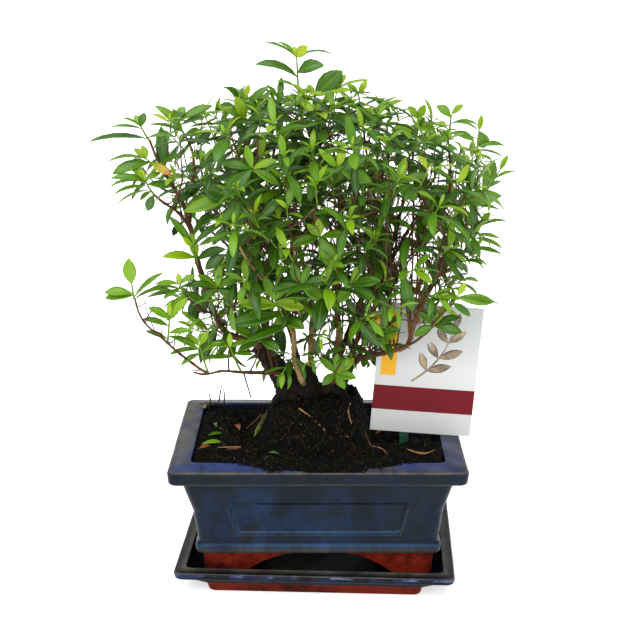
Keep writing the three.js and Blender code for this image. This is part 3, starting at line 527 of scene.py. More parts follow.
def crumbs(centres, sizes):  # uneven lumps: the corners pushed in and out at random, stretched and turned
    count = len(centres)
    shape = crumbCorners[None] * seeded.uniform(0.65, 1.25, (count, 12, 1))
    shape = shape * seeded.uniform(0.6, 1.3, (count, 1, 3))
    shape = turned(shape, seeded.uniform(0, 2 * np.pi, count)[:, None])
    faces = (np.array(crumbFaces())[None] + 12 * np.arange(count)[:, None, None]).reshape(-1, 3)
    return centres[:, None] + shape * sizes[:, None, None], faces.tolist()


def scatterCrumbs(name, centres, sizes, material):  # one piece with a crumb on each of those centres
    points, faces = crumbs(centres, sizes)
    makePiece(name, points, [material], faces=faces, smooth=False)


def buildSoil():
    # rings are superellipses |x/a|^p + |y/b|^p = 1, nearly the pot's outline at the wall, rounder inwards
    shares = np.linspace(1, 0.02, soil["rings"])[:, None]
    angles = np.linspace(0, 2 * np.pi, soil["around"], endpoint=False)
    power = 2 + 10 * shares ** 2
    reach = shares * (np.abs(np.cos(angles)) ** power + np.abs(np.sin(angles)) ** power) ** (-1 / power)
    x = soil["topLength"] * np.cos(angles) * reach
    y = soil["topDepth"] * np.sin(angles) * reach
    top = np.stack([x, y, roughSoil(x, y)], -1)
    wall = np.stack([x[0] * 0.985, y[0] * 0.975, np.full_like(x[0], soil["wallTop"])], -1)
    base = np.stack([x[0] * 0.9, y[0] * 0.87, np.full_like(x[0], soil["bottom"])], -1)
    makePiece("soil_peat", np.concatenate([base[None], wall[None], top])[None], [peat], {}, ["soil"])
    # crumbs all over, and some that fell on the front of the rim, most of them in its middle
    place = seeded.uniform(-1, 1, (soil["crumbs"], 2)) * (62.6, 41.6)
    spilt = soil["spilt"]
    place[:spilt, 0] = seeded.normal(2, 23, spilt).clip(-58, 58)
    fallen = np.abs(seeded.normal(0, 6.5, spilt)).clip(0, 11)
    place[:spilt, 1] = -41.5 - fallen * softLine(place[:spilt, 0], 2, 40)
    onRim = 71.3 - 1.2 * ease(-43.5, -53, place[:, 1])
    onSoil = roughSoil(place[:, 0], place[:, 1].clip(-42.5, 42.5))
    z = np.where(place[:, 1] < -soil["topDepth"], onRim, onSoil)
    sizes = seeded.gamma(2.2, 0.22, soil["crumbs"]).clip(0.2, 1.5)
    sizes[:spilt] *= 0.8
    scatterCrumbs("soil_crumbs", np.column_stack([place, z]), sizes, peat)
    # a thin bank of soil on the front of the rim, its edge uneven: a grid over the slope and back under it
    spec = soil["bank"]
    along = np.linspace(-spec["half"], spec["half"], 150)
    x, y = np.meshgrid(along, np.linspace(spec["back"], spec["front"], 34), indexing="ij")
    slope = spec["top"] - spec["fall"] * ((spec["rimEdge"] - y) / spec["rimDepth"]).clip(0, 1)
    flat = np.stack([x, y, 0 * x], -1)
    reach = spec["reach"] * ease(44, 20, np.abs(x - 1)) + 2.4 * lumps(flat, 5, 24) + 1.2 * lumps(flat, 2, 25)
    height = (0.22 * (reach + soil["topDepth"] + y)).clip(-0.4, 1.1) + 0.35 * lumps(flat, 1.1, 26)
    above = np.stack([x, y, slope + height.clip(-0.4)], -1)
    below = np.stack([x, y, slope - spec["thickness"]], -1)
    makePiece("soil_spilt", np.concatenate([above, below[:, ::-1]], axis=1)[None], [peat])
    place = seeded.uniform(-1, 1, (soil["grit"], 2)) * (59, 38)
    centres = np.column_stack([place, roughSoil(*place.T) + 0.2])
    scatterCrumbs("soil_grit", centres, seeded.uniform(0.2, 0.5, soil["grit"]), pumice)
    # fibres: each turns evenly along its way, and waves up and down over the crumbs
    count = soil["fibres"]
    start = seeded.uniform(-1, 1, (count, 2)) * (58, 38)
    heading = seeded.uniform(0, 2 * np.pi, count)[:, None]
    along = np.linspace(0, 1, 6)[None] * seeded.uniform(4, 14, (count, 1))
    bend = heading + along * seeded.normal(0, 0.08, (count, 1))
    x = (start[:, :1] + along * np.cos(bend)).clip(-61, 61)
    y = (start[:, 1:] + along * np.sin(bend)).clip(-40, 40)
    paths = np.stack([x, y, roughSoil(x, y) + 0.3 + 0.5 * np.sin(along)], -1)
    makePiece("soil_fibres", tubes(paths, np.full(paths.shape[:2], 0.13), 4), [barks["fibre"]])


# Plant. Places on it are given as they show from the front against the plane y = 0, then how far behind it.
def seen(places):  # further back, x and the height over the eye grow by (back + distance) / distance
    x, z, back = np.asarray(places, float).reshape(-1, 3).T
    reach = (back + camera["distance"]) / camera["distance"]
    return np.stack([x * reach, back, camera["height"] + (z - camera["height"]) * reach], -1)


def curveThrough(points, count):  # centripetal Catmull-Rom curve through the points, in even steps along it
    p = np.vstack([2 * points[0] - points[1], points, 2 * points[-1] - points[-2]])
    knot = np.concatenate([[0], np.cumsum(np.linalg.norm(np.diff(p, axis=0), axis=1) ** 0.5)])

    def mix(a, b, low, high, t):  # straight on from a at low to b at high
        return (a * (high - t) + b * (t - low)) / (high - low)

    fine = []
    for i in range(1, len(p) - 2):
        t = np.linspace(knot[i], knot[i + 1], 24, endpoint=False)[:, None]
        a = [mix(p[k], p[k + 1], knot[k], knot[k + 1], t) for k in (i - 1, i, i + 1)]
        b = [mix(a[k - i + 1], a[k - i + 2], knot[k], knot[k + 2], t) for k in (i - 1, i)]
        fine.append(mix(b[0], b[1], knot[i], knot[i + 1], t))
    fine = np.vstack(fine + [p[-2:-1]])
    along = np.concatenate([[0], np.cumsum(np.linalg.norm(np.diff(fine, axis=0), axis=1))])
    at = np.linspace(0, along[-1], count)
    return np.stack([np.interp(at, along, fine[:, k]) for k in range(3)], -1)


def tubes(paths, radii, around):  # a ring about each step of each path: centre + radius (side cos + up sin)
    ahead = unit(np.gradient(paths, axis=1))
    across = np.eye(3)[np.abs(ahead.mean(axis=1)).argmin(axis=1)][:, None]
    side = unit(np.cross(ahead, across))
    up = np.cross(ahead, side)
    turn = np.linspace(0, 2 * np.pi, around, endpoint=False)[:, None]
    ring = side[:, :, None] * np.cos(turn) + up[:, :, None] * np.sin(turn)
    return paths[:, :, None] + radii[..., None, None] * ring


# Branches: the stem each belongs to, the branch and share it grows from, its radii, its places as seen
branches = {
    "leftLow": ("stem_left_low", None, [1.2, 0.5], [
        (-20, 104, -1), (-30, 104, -10), (-40, 104.5, -16), (-50, 105, -20), (-60, 103, -23),
        (-66, 104, -24),
    ]),
    "leftLowTwig": ("stem_left_low", ("leftLow", 0.84), [0.8, 0.5], [
        (-64, 107, -25), (-72, 114, -29), (-80, 122, -32), (-89, 130, -35), (-93, 137, -36),
        (-95, 144, -36),
    ]),
    "left": ("stem_left", None, [1.9, 1.6, 1.2], [
        (-30, 118, 2), (-38, 122, -3), (-48, 126, -9), (-54, 138, -13), (-58, 152, -14), (-62, 165, -13),
        (-64.5, 178, -12), (-66, 186, -11),
    ]),
    "leftTwig": ("stem_left", ("left", 0.42), [0.7, 0.5], [
        (-60, 138, -20), (-66, 143, -26), (-69.5, 147, -29),
    ]),
    "leftOuter": ("stem_left", ("left", 0.95), [1, 0.6], [
        (-71, 190, -15), (-78, 195, -19), (-83, 199, -21),
    ]),
    "leftUpper": ("stem_left", ("left", 0.99), [1.1, 0.6], [
        (-69, 196, -9), (-75, 206, -10), (-80, 216, -14), (-84, 226, -20),
    ]),
    "leftInner": ("stem_left", ("left", 0.98), [1, 0.6], [
        (-63, 196, -5), (-62, 208, -1), (-63, 220, 1), (-66, 228, 2),
    ]),
    "leftBack": ("stem_left_back", None, [1.4, 0.6], [
        (-24, 112, 5), (-28, 120, 11), (-35, 136, 19), (-40, 155, 25), (-41, 175, 29), (-39, 195, 33),
        (-37, 215, 35), (-35, 230, 35),
    ]),
    "leftBackTwig": ("stem_left_back", ("leftBack", 0.55), [0.8, 0.6], [
        (-50, 188, 34), (-57, 202, 38), (-59, 216, 40),
    ]),
    "middleLeft": ("stem_middle_left", None, [1.6, 1.2, 0.6], [
        (-7, 95, -5), (-9, 101, -11), (-12, 111, -13), (-13, 124, -14), (-17, 145, -14), (-24, 165, -12),
        (-31, 182, -10), (-35, 200, -9), (-37, 218, -9), (-36, 231, -9),
    ]),
    "middleLeftTwig": ("stem_middle_left", ("middleLeft", 0.42), [0.9, 0.6], [
        (-27, 153, -26), (-35, 163, -36), (-40, 172, -44),
    ]),
    "middle": ("stem_middle", None, [1.7, 1.2, 0.5], [
        (-4, 103, 0), (-4, 118, -4), (-3, 140, -2), (-8, 165, 1), (-12, 190, 2), (-11, 215, 1),
        (-10, 235, 0), (-9.5, 247, 0),
    ]),
    "middleTwig": ("stem_middle", ("middle", 0.45), [0.9, 0.6], [
        (-4, 178, -15), (-1, 192, -27), (-1, 206, -37),
    ]),
    "middleRight": ("stem_middle_right", None, [1.7, 1.3, 0.6], [
        (9, 98, -3), (9.5, 111, -9), (10.5, 125, -11), (9.5, 145, -11), (10, 170, -11), (11, 190, -9),
        (9, 212, -7), (5, 232, -6),
    ]),
    "middleRightTwig": ("stem_middle_right", ("middleRight", 0.5), [0.9, 0.6], [
        (15, 184, -23), (19, 198, -33), (20, 211, -41),
    ]),
    "right": ("stem_right", None, [1.6, 1.2, 0.6], [
        (14.5, 107, 4), (22, 125, 10), (32, 148, 14), (37, 170, 15), (42, 190, 15), (46, 210, 13),
        (48, 225, 10),
    ]),
    "rightTwig": ("stem_right", ("right", 0.5), [0.8, 0.5], [
        (30, 186, 4), (27, 206, -2), (24, 222, -5), (22, 235, -5),
    ]),
    "rightLow": ("stem_right_low", None, [1.4, 1.2, 0.5], [
        (14, 103, 1), (18, 107.5, -6), (22, 111.5, -12), (30, 114, -21), (40, 116, -25), (46, 118.5, -26),
        (49, 127, -25), (52, 137, -24), (57, 149, -19), (62, 160, -9), (65, 174, -3), (63, 186, -1),
        (66, 200, 1), (66, 214, 3), (65, 227, 5),
    ]),
    "rightOuter": ("stem_right_low", ("rightLow", 0.56), [1, 0.5], [
        (70, 162, 0), (76, 172, 8), (79, 186, 16), (80, 198, 24), (80, 210, 30), (79, 220, 34),
    ]),
    "rightLowGreen": ("stem_right_low", ("rightLow", 0.31), [0.8, 0.5], [
        (53, 123, -32), (59, 130, -36), (65, 137, -38), (69, 142, -38),
    ]),
    "backLeft": ("stem_back_left", None, [1.5, 1.1, 0.6], [
        (-8, 103, 15), (-15, 128, 27), (-22, 155, 39), (-25, 185, 46), (-24, 210, 48), (-20, 229, 46),
    ]),
    "backLeftTwig": ("stem_back_left", ("backLeft", 0.42), [0.9, 0.6], [
        (-38, 166, 51), (-50, 176, 56), (-60, 184, 58),
    ]),
    "backRight": ("stem_back_right", None, [1.5, 1.1, 0.6], [
        (8, 99, 7), (16, 128, 27), (26, 155, 39), (32, 185, 45), (34, 208, 47), (30, 227, 45),
    ]),
    "backRightTwig": ("stem_back_right", ("backRight", 0.42), [0.9, 0.6], [
        (43, 164, 51), (55, 174, 55), (64, 184, 56),
    ]),
}

# Shoots: the branch each starts on and at which share of it, its tip as seen, and its leaves: pairs and leaf
# length, or one by one. Each of those is the share of the shoot it grows from, its tip as seen, its width,
# how far its face turns from upwards to the front, its age from 0, new, to 1 (below 0: withered), its arch.
shoots = {
    "top": ("middle", 1, (-10.5, 267, 0), [
        (1, -30, 274.5, -2, 4.5, 15, 0.6, 50), (1, -20, 274.5, 3, 4, 12, 0.5, 45),
        (1, -5, 272.5, -2, 6, 60, 0.08, 20), (0.95, 7, 268.5, 2, 4, 12, 0.75, 60),
        (0.55, -31, 263.5, -3, 6.5, 35, 0.8, 70), (0.6, 3, 263, -4, 8, 55, 0.75, 60),
        (0.28, -21, 255.5, -4, 3.5, 25, 0.4, 40), (0.15, -4, 250, -3, 3.5, 30, 0.4, 20),
        (1, -12, 272.5, 2, 3, 50, 0.1, 10),
    ]),
    "top_left": ("middleLeft", 1, (-36, 247, -10), [
        (0.4, -41, 248, -12, 6.5, 60, 0.25, 40), (0.9, -38, 252, -8, 5, 35, 0.6, 35),
        (0.6, -24, 253, -10, 5, 40, 0.7, 45), (0.3, -50, 243, -10, 6, 30, 0.6, 45),
        (0.2, -23, 240, -12, 6, 40, 0.7, 40), (1, -34, 254, -10, 3, 60, 0.15, 10),
        (0.05, -45, 236, -12, 6, 40, 0.8, 40),
    ]),
    "top_middle": ("middleRight", 1, (8, 251, -8), [
        (1, 26, 256, -8, 4, 15, 0.3, 35), (1, 25, 248, -6, 3.5, 15, 0.6, 30),
        (0.7, 19, 243, -10, 6, 45, 0.7, 30), (1, 14, 259, -6, 3.5, 60, 0.15, 15),
        (0.5, -8, 241, -12, 6, 50, 0.85, 40), (0.3, 20, 236, -14, 6, 50, 0.6, 40),
    ]),
    "top_right": ("rightTwig", 1, (20, 249, -4), [
        (0.9, 40, 240.5, -4, 4, 12, 0.6, 45), (0.6, 8, 242, -6, 3.5, 15, 0.7, 40),
        (0.5, 34, 247, 0, 3, 12, 0.7, 40), (1, 24, 256, -2, 3.5, 60, 0.2, 10),
        (0.2, 33, 234, -6, 6, 45, 0.7, 40), (1, 14, 254, -4, 4, 40, 0.35, 25),
    ]),
    "left_tip": ("leftUpper", 1, (-88, 233, -24), [
        (0.1, -114.5, 225.5, -24, 5.5, 22, 0.85, 40), (0.9, -103, 233, -24, 3.5, 20, 0.6, 25),
        (1, -86, 240, -22, 4.5, 45, 0.75, 30), (1, -97, 237.5, -28, 3, 25, 0.5, 25),
        (1, -91, 239, -20, 3.5, 50, 0.3, 10), (0.3, -71, 228, -18, 4, 30, 0.6, 35),
    ]),
    "left_fan": ("leftOuter", 1, (-87, 206, -25), [
        (0.9, -105, 202.5, -26, 3.2, 28, 0.55, 70), (0.6, -103.5, 198.5, -22, 3, 35, 0.4, 55),
        (0.35, -101.5, 194, -20, 2.8, 20, 0.3, 35), (1, -104.5, 207, -31, 4.2, 45, 0.6, 60),
        (0.2, -90, 196, -21, 3.5, 40, 0.7, 25), (0, -86.5, 190.5, -20, 5, 75, 0.85, 10),
        (1, -90, 212, -25, 4, 40, 0.2, 10), (1, -79, 210, -20, 4.5, 30, 0.5, 30),
        (0.8, -74, 203, -18, 5, 50, 0.6, 30), (1, -95, 212.5, -27, 4, 30, 0.4, 30),
    ]),
    "left_side": ("leftUpper", 0.6, (-86, 217, -22), [
        (1, -105.5, 215.5, -24, 4, 15, 0.5, 45), (0.8, -103.5, 209, -26, 6.5, 50, 0.65, 60),
        (0, -78, 233.5, -16, 7, 75, 0.8, 10), (1, -92, 222, -20, 4, 40, 0.15, 15),
        (1, -88, 224, -26, 4, 50, 0.2, 15), (0.7, -73.5, 208.5, -26, 5, 55, -1, 25),
        (0.4, -68, 219, -20, 5, 35, 0.7, 35),
    ]),
    "left_high": ("leftInner", 1, (-70, 237, 2), [
        (0.2, -81, 243.5, 0, 5.5, 40, 0.45, 60), (0.6, -57, 237, 0, 5.5, 25, 0.85, 35),
        (1, -66, 243, 4, 5, 50, 0.5, 25), (0.9, -52, 243.5, 6, 5.5, 45, 0.6, 40),
        (0.3, -84, 234, 6, 4, 20, 0.7, 40), (1, -72, 242, -4, 3.5, 60, 0.2, 10),
        (0.1, -58, 229, -6, 7, 45, 0.75, 35),
    ]),
    "left_inner": ("leftInner", 0.3, (-55, 212, -16), (3, 16)),
    "left_back": ("leftBackTwig", 1, (-58, 235, 41), (3, 17)),
    "left_back_top": ("leftBack", 1, (-38, 246, 35), (3, 17)),
    "left_stem": ("left", 0.74, (-64, 172, -24), [
        (0.35, -80, 166.5, -26, 5.5, 45, 0.25, 40), (0.2, -64.5, 179, -20, 5, 80, 0.3, 10),
        (0.3, -47, 170.5, -18, 6.5, 45, 0.85, 40), (1, -46, 185, -20, 5.5, 30, 0.85, 35),
        (1, -69, 177, -26, 3.5, 50, 0.2, 10), (0.9, -76, 188, -22, 5, 35, 0.6, 30),
    ]),
    "left_twig": ("leftTwig", 1, (-71, 152, -32), [
        (0.5, -87, 149.5, -32, 3.5, 20, 0.5, 40), (0.3, -88.5, 145, -30, 4, 25, 0.6, 40),
        (0.6, -80, 144.5, -34, 3.5, 30, 0.5, 30), (1, -84, 152, -36, 4, 30, 0.4, 30),
        (1, -63, 156.5, -30, 4.5, 30, 0.4, 40), (0.8, -53, 150.5, -28, 5.5, 35, 0.8, 35),
        (0, -78.5, 132.5, -28, 6, 70, 0.3, 20), (1, -72, 158, -32, 3, 60, 0.15, 5),
        (0.2, -59, 141, -26, 6, 40, 0.7, 30),
    ]),
    "low_tip": ("leftLowTwig", 1, (-96, 152, -37), [
        (1, -97, 166, -37, 7.5, 85, 0.35, 8), (0.4, -110.5, 147.5, -38, 5.5, 40, 0.45, 45),
        (0.25, -110, 144.5, -37, 5.5, 50, 0.5, 45), (0.1, -79, 158.5, -34, 4, 25, 0.6, 35),
        (0, -76, 149.5, -34, 4, 20, 0.5, 45),
    ]),
    "low_upright": ("leftLowTwig", 0.5, (-77, 135, -33), [
        (0.9, -88, 139.5, -34, 5, 40, 0.45, 50), (1, -67.5, 145, -32, 4.5, 60, 0.3, 15),
        (0.3, -63, 117, -32, 4.5, 35, 0.6, 50), (1, -77, 142, -33, 3, 60, 0.2, 10),
        (0.6, -91, 133.5, -33, 4, 40, 0.6, 40), (0.1, -90, 127, -30, 3.5, 30, 0.7, 30),
        (0.4, -66, 127, -35, 4, 40, 0.5, 30),
    ]),
    "low_inner": ("leftLow", 0.84, (-62, 119, -28), [
        (0.9, -78, 114, -28, 4, 30, 0.5, 35), (0.7, -72, 108, -28, 4, 35, 0.5, 30),
        (1, -57, 127, -28, 4, 60, 0.3, 10), (0.8, -49, 121, -26, 4.5, 30, 0.5, 35),
        (0.5, -52, 113, -24, 3.5, 30, 0.6, 30), (1, -69, 125, -30, 4, 40, 0.3, 20),
    ]),
    "low_base": ("leftLow", 0.5, (-46, 118, -26), [
        (1, -35, 122, -24, 4.5, 30, 0.5, 35), (1, -57, 120, -26, 4.5, 30, 0.45, 35),
        (0.7, -34, 114, -24, 4, 30, 0.6, 30), (0.6, -57, 112, -24, 3.5, 35, 0.6, 30),
        (1, -46, 126, -26, 3.5, 60, 0.25, 10),
    ]),
    "left_bright": ("middleLeft", 0.26, (-22, 143, -30), [
        (0.9, -41, 142, -34, 8.5, 60, 0.3, 25), (1, -7, 139.5, -34, 7.5, 65, 0.24, 20),
        (0.6, -47, 130, -32, 9.5, 55, 0.75, 30), (0.5, -7, 128, -30, 7.5, 55, 0.6, 30),
        (1, -28, 157, -28, 6, 60, 0.45, 15), (1, -15, 156, -28, 5, 60, 0.5, 15),
        (0.2, -38, 121, -30, 6, 45, 0.7, 30),
    ]),
    "left_centre": ("middleLeftTwig", 1, (-43, 184, -60), (4, 19)),
    "front_left": ("middleLeft", 0.55, (-20, 186, -34), (3, 18)),
    "front_left_top": ("middleLeft", 0.8, (-28, 219, -32), (3, 19)),
    "front_middle": ("middleRight", 0.42, (5, 168, -28), (3, 19)),
    "front_top": ("middleTwig", 1, (-3, 222, -44), (4, 19)),
    "front_right_top": ("middleRightTwig", 1, (17, 224, -60), (4, 19)),
    "front_right": ("right", 0.55, (34, 194, -16), (3, 18)),
    "right_high": ("right", 1, (50, 237, 8), [
        (0.8, 35, 243.5, 8, 3, 12, 0.7, 40), (1, 53, 244, 8, 5, 50, 0.3, 15),
        (0.6, 58, 232, 10, 7, 50, 0.35, 30), (0.5, 36, 231, 4, 7, 50, 0.3, 30),
        (1, 44, 243, 4, 5, 50, 0.35, 20), (0.3, 62, 226, 10, 6, 40, 0.6, 35),
        (0.2, 34, 224, 4, 6, 45, 0.7, 35),
    ]),
    "right_top": ("rightLow", 1, (66, 239, 8), [
        (0.9, 58.5, 243.5, 10, 5.5, 45, 0.5, 50), (0.4, 52, 235, 8, 3.5, 20, 0.7, 40),
        (0.6, 79.5, 234, 10, 4, 20, 0.6, 45), (1, 72, 244, 8, 4, 50, 0.3, 20),
        (0.2, 78, 226, 8, 5.5, 40, 0.6, 40), (0.1, 55, 222, 8, 6, 45, 0.6, 35),
    ]),
    "right_tip": ("rightOuter", 1, (80, 231, 38), [
        (1, 83, 222.5, 40, 7.5, 70, 0.55, 40), (0.2, 93, 223.5, 40, 4.5, 35, 0.6, 45),
        (0.1, 92.5, 218, 38, 3.5, 20, 0.6, 30), (1, 69, 235, 34, 3.5, 20, 0.5, 40),
        (0.6, 66, 228, 30, 3.5, 25, 0.6, 30), (1, 81, 239, 38, 3.5, 60, 0.2, 10),
    ]),
    "right_side": ("rightOuter", 0.66, (91, 211, 54), [
        (0.3, 88, 216.5, 48, 8, 80, 0.6, 10), (0.7, 99, 210.5, 56, 3.5, 20, 0.5, 30),
        (0.5, 92, 206, 52, 3.5, 25, 0.5, 20), (1, 95, 219, 54, 3.5, 50, 0.3, 15),
        (0.2, 73, 209, 40, 5, 40, 0.7, 35), (0.1, 90, 199, 40, 4.5, 35, 0.6, 35),
    ]),
    "right_lower": ("rightOuter", 0.3, (82, 182, 8), [
        (1, 96, 185, 10, 3.5, 20, 0.55, 55), (0.8, 93, 176, 8, 3.5, 25, 0.4, 35),
        (0.6, 94, 171, 6, 4, 30, 0.5, 35), (0.3, 94, 168, 4, 4, 25, 0.6, 40),
        (1, 87, 190, 8, 4, 50, 0.3, 15), (0.6, 71, 183, 6, 5, 40, 0.6, 30),
        (0.1, 63, 161, 2, 7, 50, 0.85, 30),
    ]),
    "right_centre": ("rightLow", 0.7, (56, 190, -20), (3, 17)),
    "right_green": ("rightLowGreen", 1, (72, 146, -40), [
        (0.9, 94, 141.5, -40, 2.6, 15, 0.6, 25), (0.8, 91, 142.5, -38, 6.5, 65, 0.45, 20),
        (0, 79, 135, -36, 5, 40, 0.7, 30), (0.6, 58, 146, -40, 4, 35, 0.5, 30),
        (1, 76, 153, -40, 3.5, 60, 0.2, 10),
    ]),
    "right_low": ("rightLow", 0.24, (36, 128, -32), (3, 14)),
    "back_left": ("backLeftTwig", 1, (-69, 196, 53), (4, 17)),
    "back_left_top": ("backLeft", 1, (-19, 246, 48), (4, 18)),
    "back_right": ("backRightTwig", 1, (72, 197, 53), (4, 17)),
    "back_right_top": ("backRight", 1, (31, 244, 47), (4, 18)),
    "back_middle": ("backLeft", 0.6, (-4, 192, 58), (4, 17)),
}

# Tufts: more rosettes, each a place as seen and tips given the same way, carried by a twig
tufts = [
    ((-2, 248, -8), [
        (12, 260.5, -8, 10.5, 75, 0.75, 20), (17, 251, -12, 5, 35, 0.3, 35), (4, 236, -14, 8, 70, 0.9, 20),
        (-5, 254, -8, 3.5, 60, 0.2, 10), (-15, 243, -12, 6, 45, 0.8, 35),
    ]),
    ((-19, 245, -4), [
        (-28, 239, -8, 6.5, 50, 0.9, 30), (-26, 254, -4, 3.5, 20, 0.6, 30),
        (-18, 257.5, 0, 3.5, 20, 0.6, 25), (-9, 247, -6, 5, 30, 0.7, 40), (-34, 246, 0, 4, 20, 0.6, 40),
    ]),
    ((68, 194, 4), [
        (92.5, 198.5, 6, 9, 60, 0.55, 25), (92, 191, 4, 4.5, 30, 0.5, 30), (58, 204, 0, 6, 45, 0.5, 30),
        (66, 207, 2, 4, 60, 0.1, 10), (53, 194, 0, 6.5, 45, 0.65, 30), (79, 183, 0, 6, 50, 0.6, 30),
    ]),
    ((1, 177, -36), [
        (9, 160.5, -42, 9.5, 75, 0.5, 15), (-14, 172, -40, 7, 45, 0.6, 35), (15, 178, -40, 6, 40, 0.5, 35),
        (0, 187, -36, 5, 60, 0.2, 10), (-6, 184, -38, 4.5, 60, 0.35, 15),
    ]),
    ((-44, 197, -22), [
        (-68, 190, -26, 9, 55, 0.4, 30), (-57, 203, -24, 11, 75, 0.85, 20), (-32, 206, -24, 9, 60, 0.7, 25),
        (-43, 206, -24, 4, 60, 0.1, 10), (-36, 189, -26, 6, 50, 0.6, 30),
    ]),
    ((-33, 212, -40), [
        (-47, 198, -42, 10, 65, 0.75, 25), (-20, 216, -42, 5, 50, 0.3, 25), (-36, 224, -40, 5, 60, 0.4, 15),
        (-20, 204, -42, 6.5, 50, 0.5, 30), (-49, 215, -40, 6, 45, 0.7, 30),
    ]),
    ((10, 212, -46), [
        (0, 222, -46, 5, 50, 0.4, 20), (27, 205, -48, 8, 60, 0.6, 30), (13, 224, -46, 4.5, 60, 0.15, 15),
        (-4, 205, -48, 7, 50, 0.5, 30), (24, 217, -46, 8, 60, 0.8, 25),
    ]),
    ((40, 205, -30), [
        (50, 196, -34, 8, 65, 0.6, 20), (28, 200, -32, 7, 50, 0.7, 30), (44, 218, -30, 5, 60, 0.3, 15),
        (56, 209, -30, 6, 45, 0.6, 30), (33, 214, -30, 6, 50, 0.5, 25),
    ]),
    ((-9, 152, -40), [
        (-24, 148, -42, 7, 50, 0.75, 30), (7, 154, -42, 7.5, 50, 0.8, 30),
        (-14, 164, -40, 5.5, 65, 0.6, 10), (-4, 162, -40, 5, 60, 0.6, 15), (4, 143, -42, 7, 60, 0.6, 25),
    ]),
    ((17, 152, -34), [
        (32, 154, -36, 8, 45, 0.7, 35), (10, 142, -38, 7, 60, 0.5, 25), (22, 163, -34, 5, 60, 0.4, 15),
        (30, 143, -36, 6, 50, 0.7, 25), (5, 158, -36, 6, 40, 0.7, 30),
    ]),
    ((60, 130, -36), [
        (75, 126, -38, 6.5, 50, 0.8, 30), (74, 134.5, -34, 5, 35, 0.85, 30), (50, 124, -36, 5, 45, 0.6, 30),
        (66, 141, -36, 4, 55, 0.4, 15), (52, 137, -34, 5, 45, 0.7, 30),
    ]),
    ((9, 104, -16), [
        (0, 113, -18, 5, 50, 0.5, 25), (19, 112, -18, 6, 60, 0.3, 20), (20, 101, -20, 6, 60, 0.45, 25),
        (10, 115, -16, 5, 60, 0.5, 10), (2, 97, -20, 5, 60, 0.6, 25), (14, 95, -20, 5, 60, 0.5, 25),
    ]),
    ((-30, 122, -22), [
        (-44, 128, -26, 6, 45, 0.6, 30), (-20, 117, -26, 6, 50, 0.7, 25), (-34, 134, -22, 5, 55, 0.4, 15),
        (-42, 116, -24, 5, 45, 0.7, 30),
    ]),
    ((30, 124, -30), [
        (20, 132, -32, 6, 50, 0.6, 25), (43, 128, -32, 6, 50, 0.7, 25), (30, 137, -30, 5, 60, -1, 10),
        (38, 117, -30, 5, 45, 0.6, 25),
    ]),
    ((-52, 150, -22), [
        (-62, 157, -24, 5, 45, 0.5, 30), (-40, 156, -24, 6, 45, 0.6, 30), (-50, 163, -22, 5, 55, 0.4, 15),
        (-42, 144, -26, 6, 50, 0.7, 30), (-61, 143, -24, 5, 45, 0.6, 30),
    ]),
    ((36, 131, -20), [
        (40, 126, -22, 3.5, 50, -1, 30), (33, 127, -22, 3, 45, -1, 40), (29, 138, -20, 3, 55, -1, 20),
        (35, 144, -18, 3, 60, -1, 30), (42, 134, -20, 4, 40, 0.7, 30),
    ]),
    ((-47, 168, -20), [
        (-58, 160, -22, 6.5, 50, 0.9, 30), (-38, 177, -22, 6, 45, 0.8, 25), (-36, 165, -24, 7, 50, 0.8, 30),
    ]),
]

curveSteps = 200
curves = {}
for branchName, (_, grownFrom, _, route) in branches.items():
    places = seen(route)
    if grownFrom:
        places = np.vstack([curves[grownFrom[0]][int(grownFrom[1] * (curveSteps - 1))], places])
    curves[branchName] = curveThrough(places, curveSteps)


def barkMaterial(name, stops, scale):
    # Bark of a small-leaved shrub: thin, flaking in long strips, tan on young stems and nearly black when old
    material, add, place = startMaterial(name)
    along, around = (add("Attribute", {"attribute_name": key}, out="Fac") for key in ("along", "around"))
    strip = add("CombineXYZ", links={"X": around, "Y": along})
    long = add("Mapping", {"Scale": (9, 0.12 * scale, 1)}, {"Vector": strip})
    flakes = add("TexNoise", {"Scale": 1, "Detail": 6, "Roughness": 0.7, "Distortion": 0.4}, {"Vector": long})
    blotch = add("TexNoise", {"Scale": 90, "Detail": 4}, {"Vector": place})
    spots = add("Math", {"operation": "MULTIPLY", 1: 0.45}, {0: blotch})
    tone = add("Math", {"operation": "MULTIPLY_ADD", 1: 0.55}, {0: flakes, 2: spots})
    return finishMaterial(material, add, {"Roughness": 0.8, "Specular IOR Level": 0.3}, {
        "Base Color": add("ValToRGB", {"stops": stops}, {"Fac": tone}),
        "Normal": add("Bump", {"Strength": 0.8, "Distance": 0.5 * mm}, {"Height": flakes}),
    })


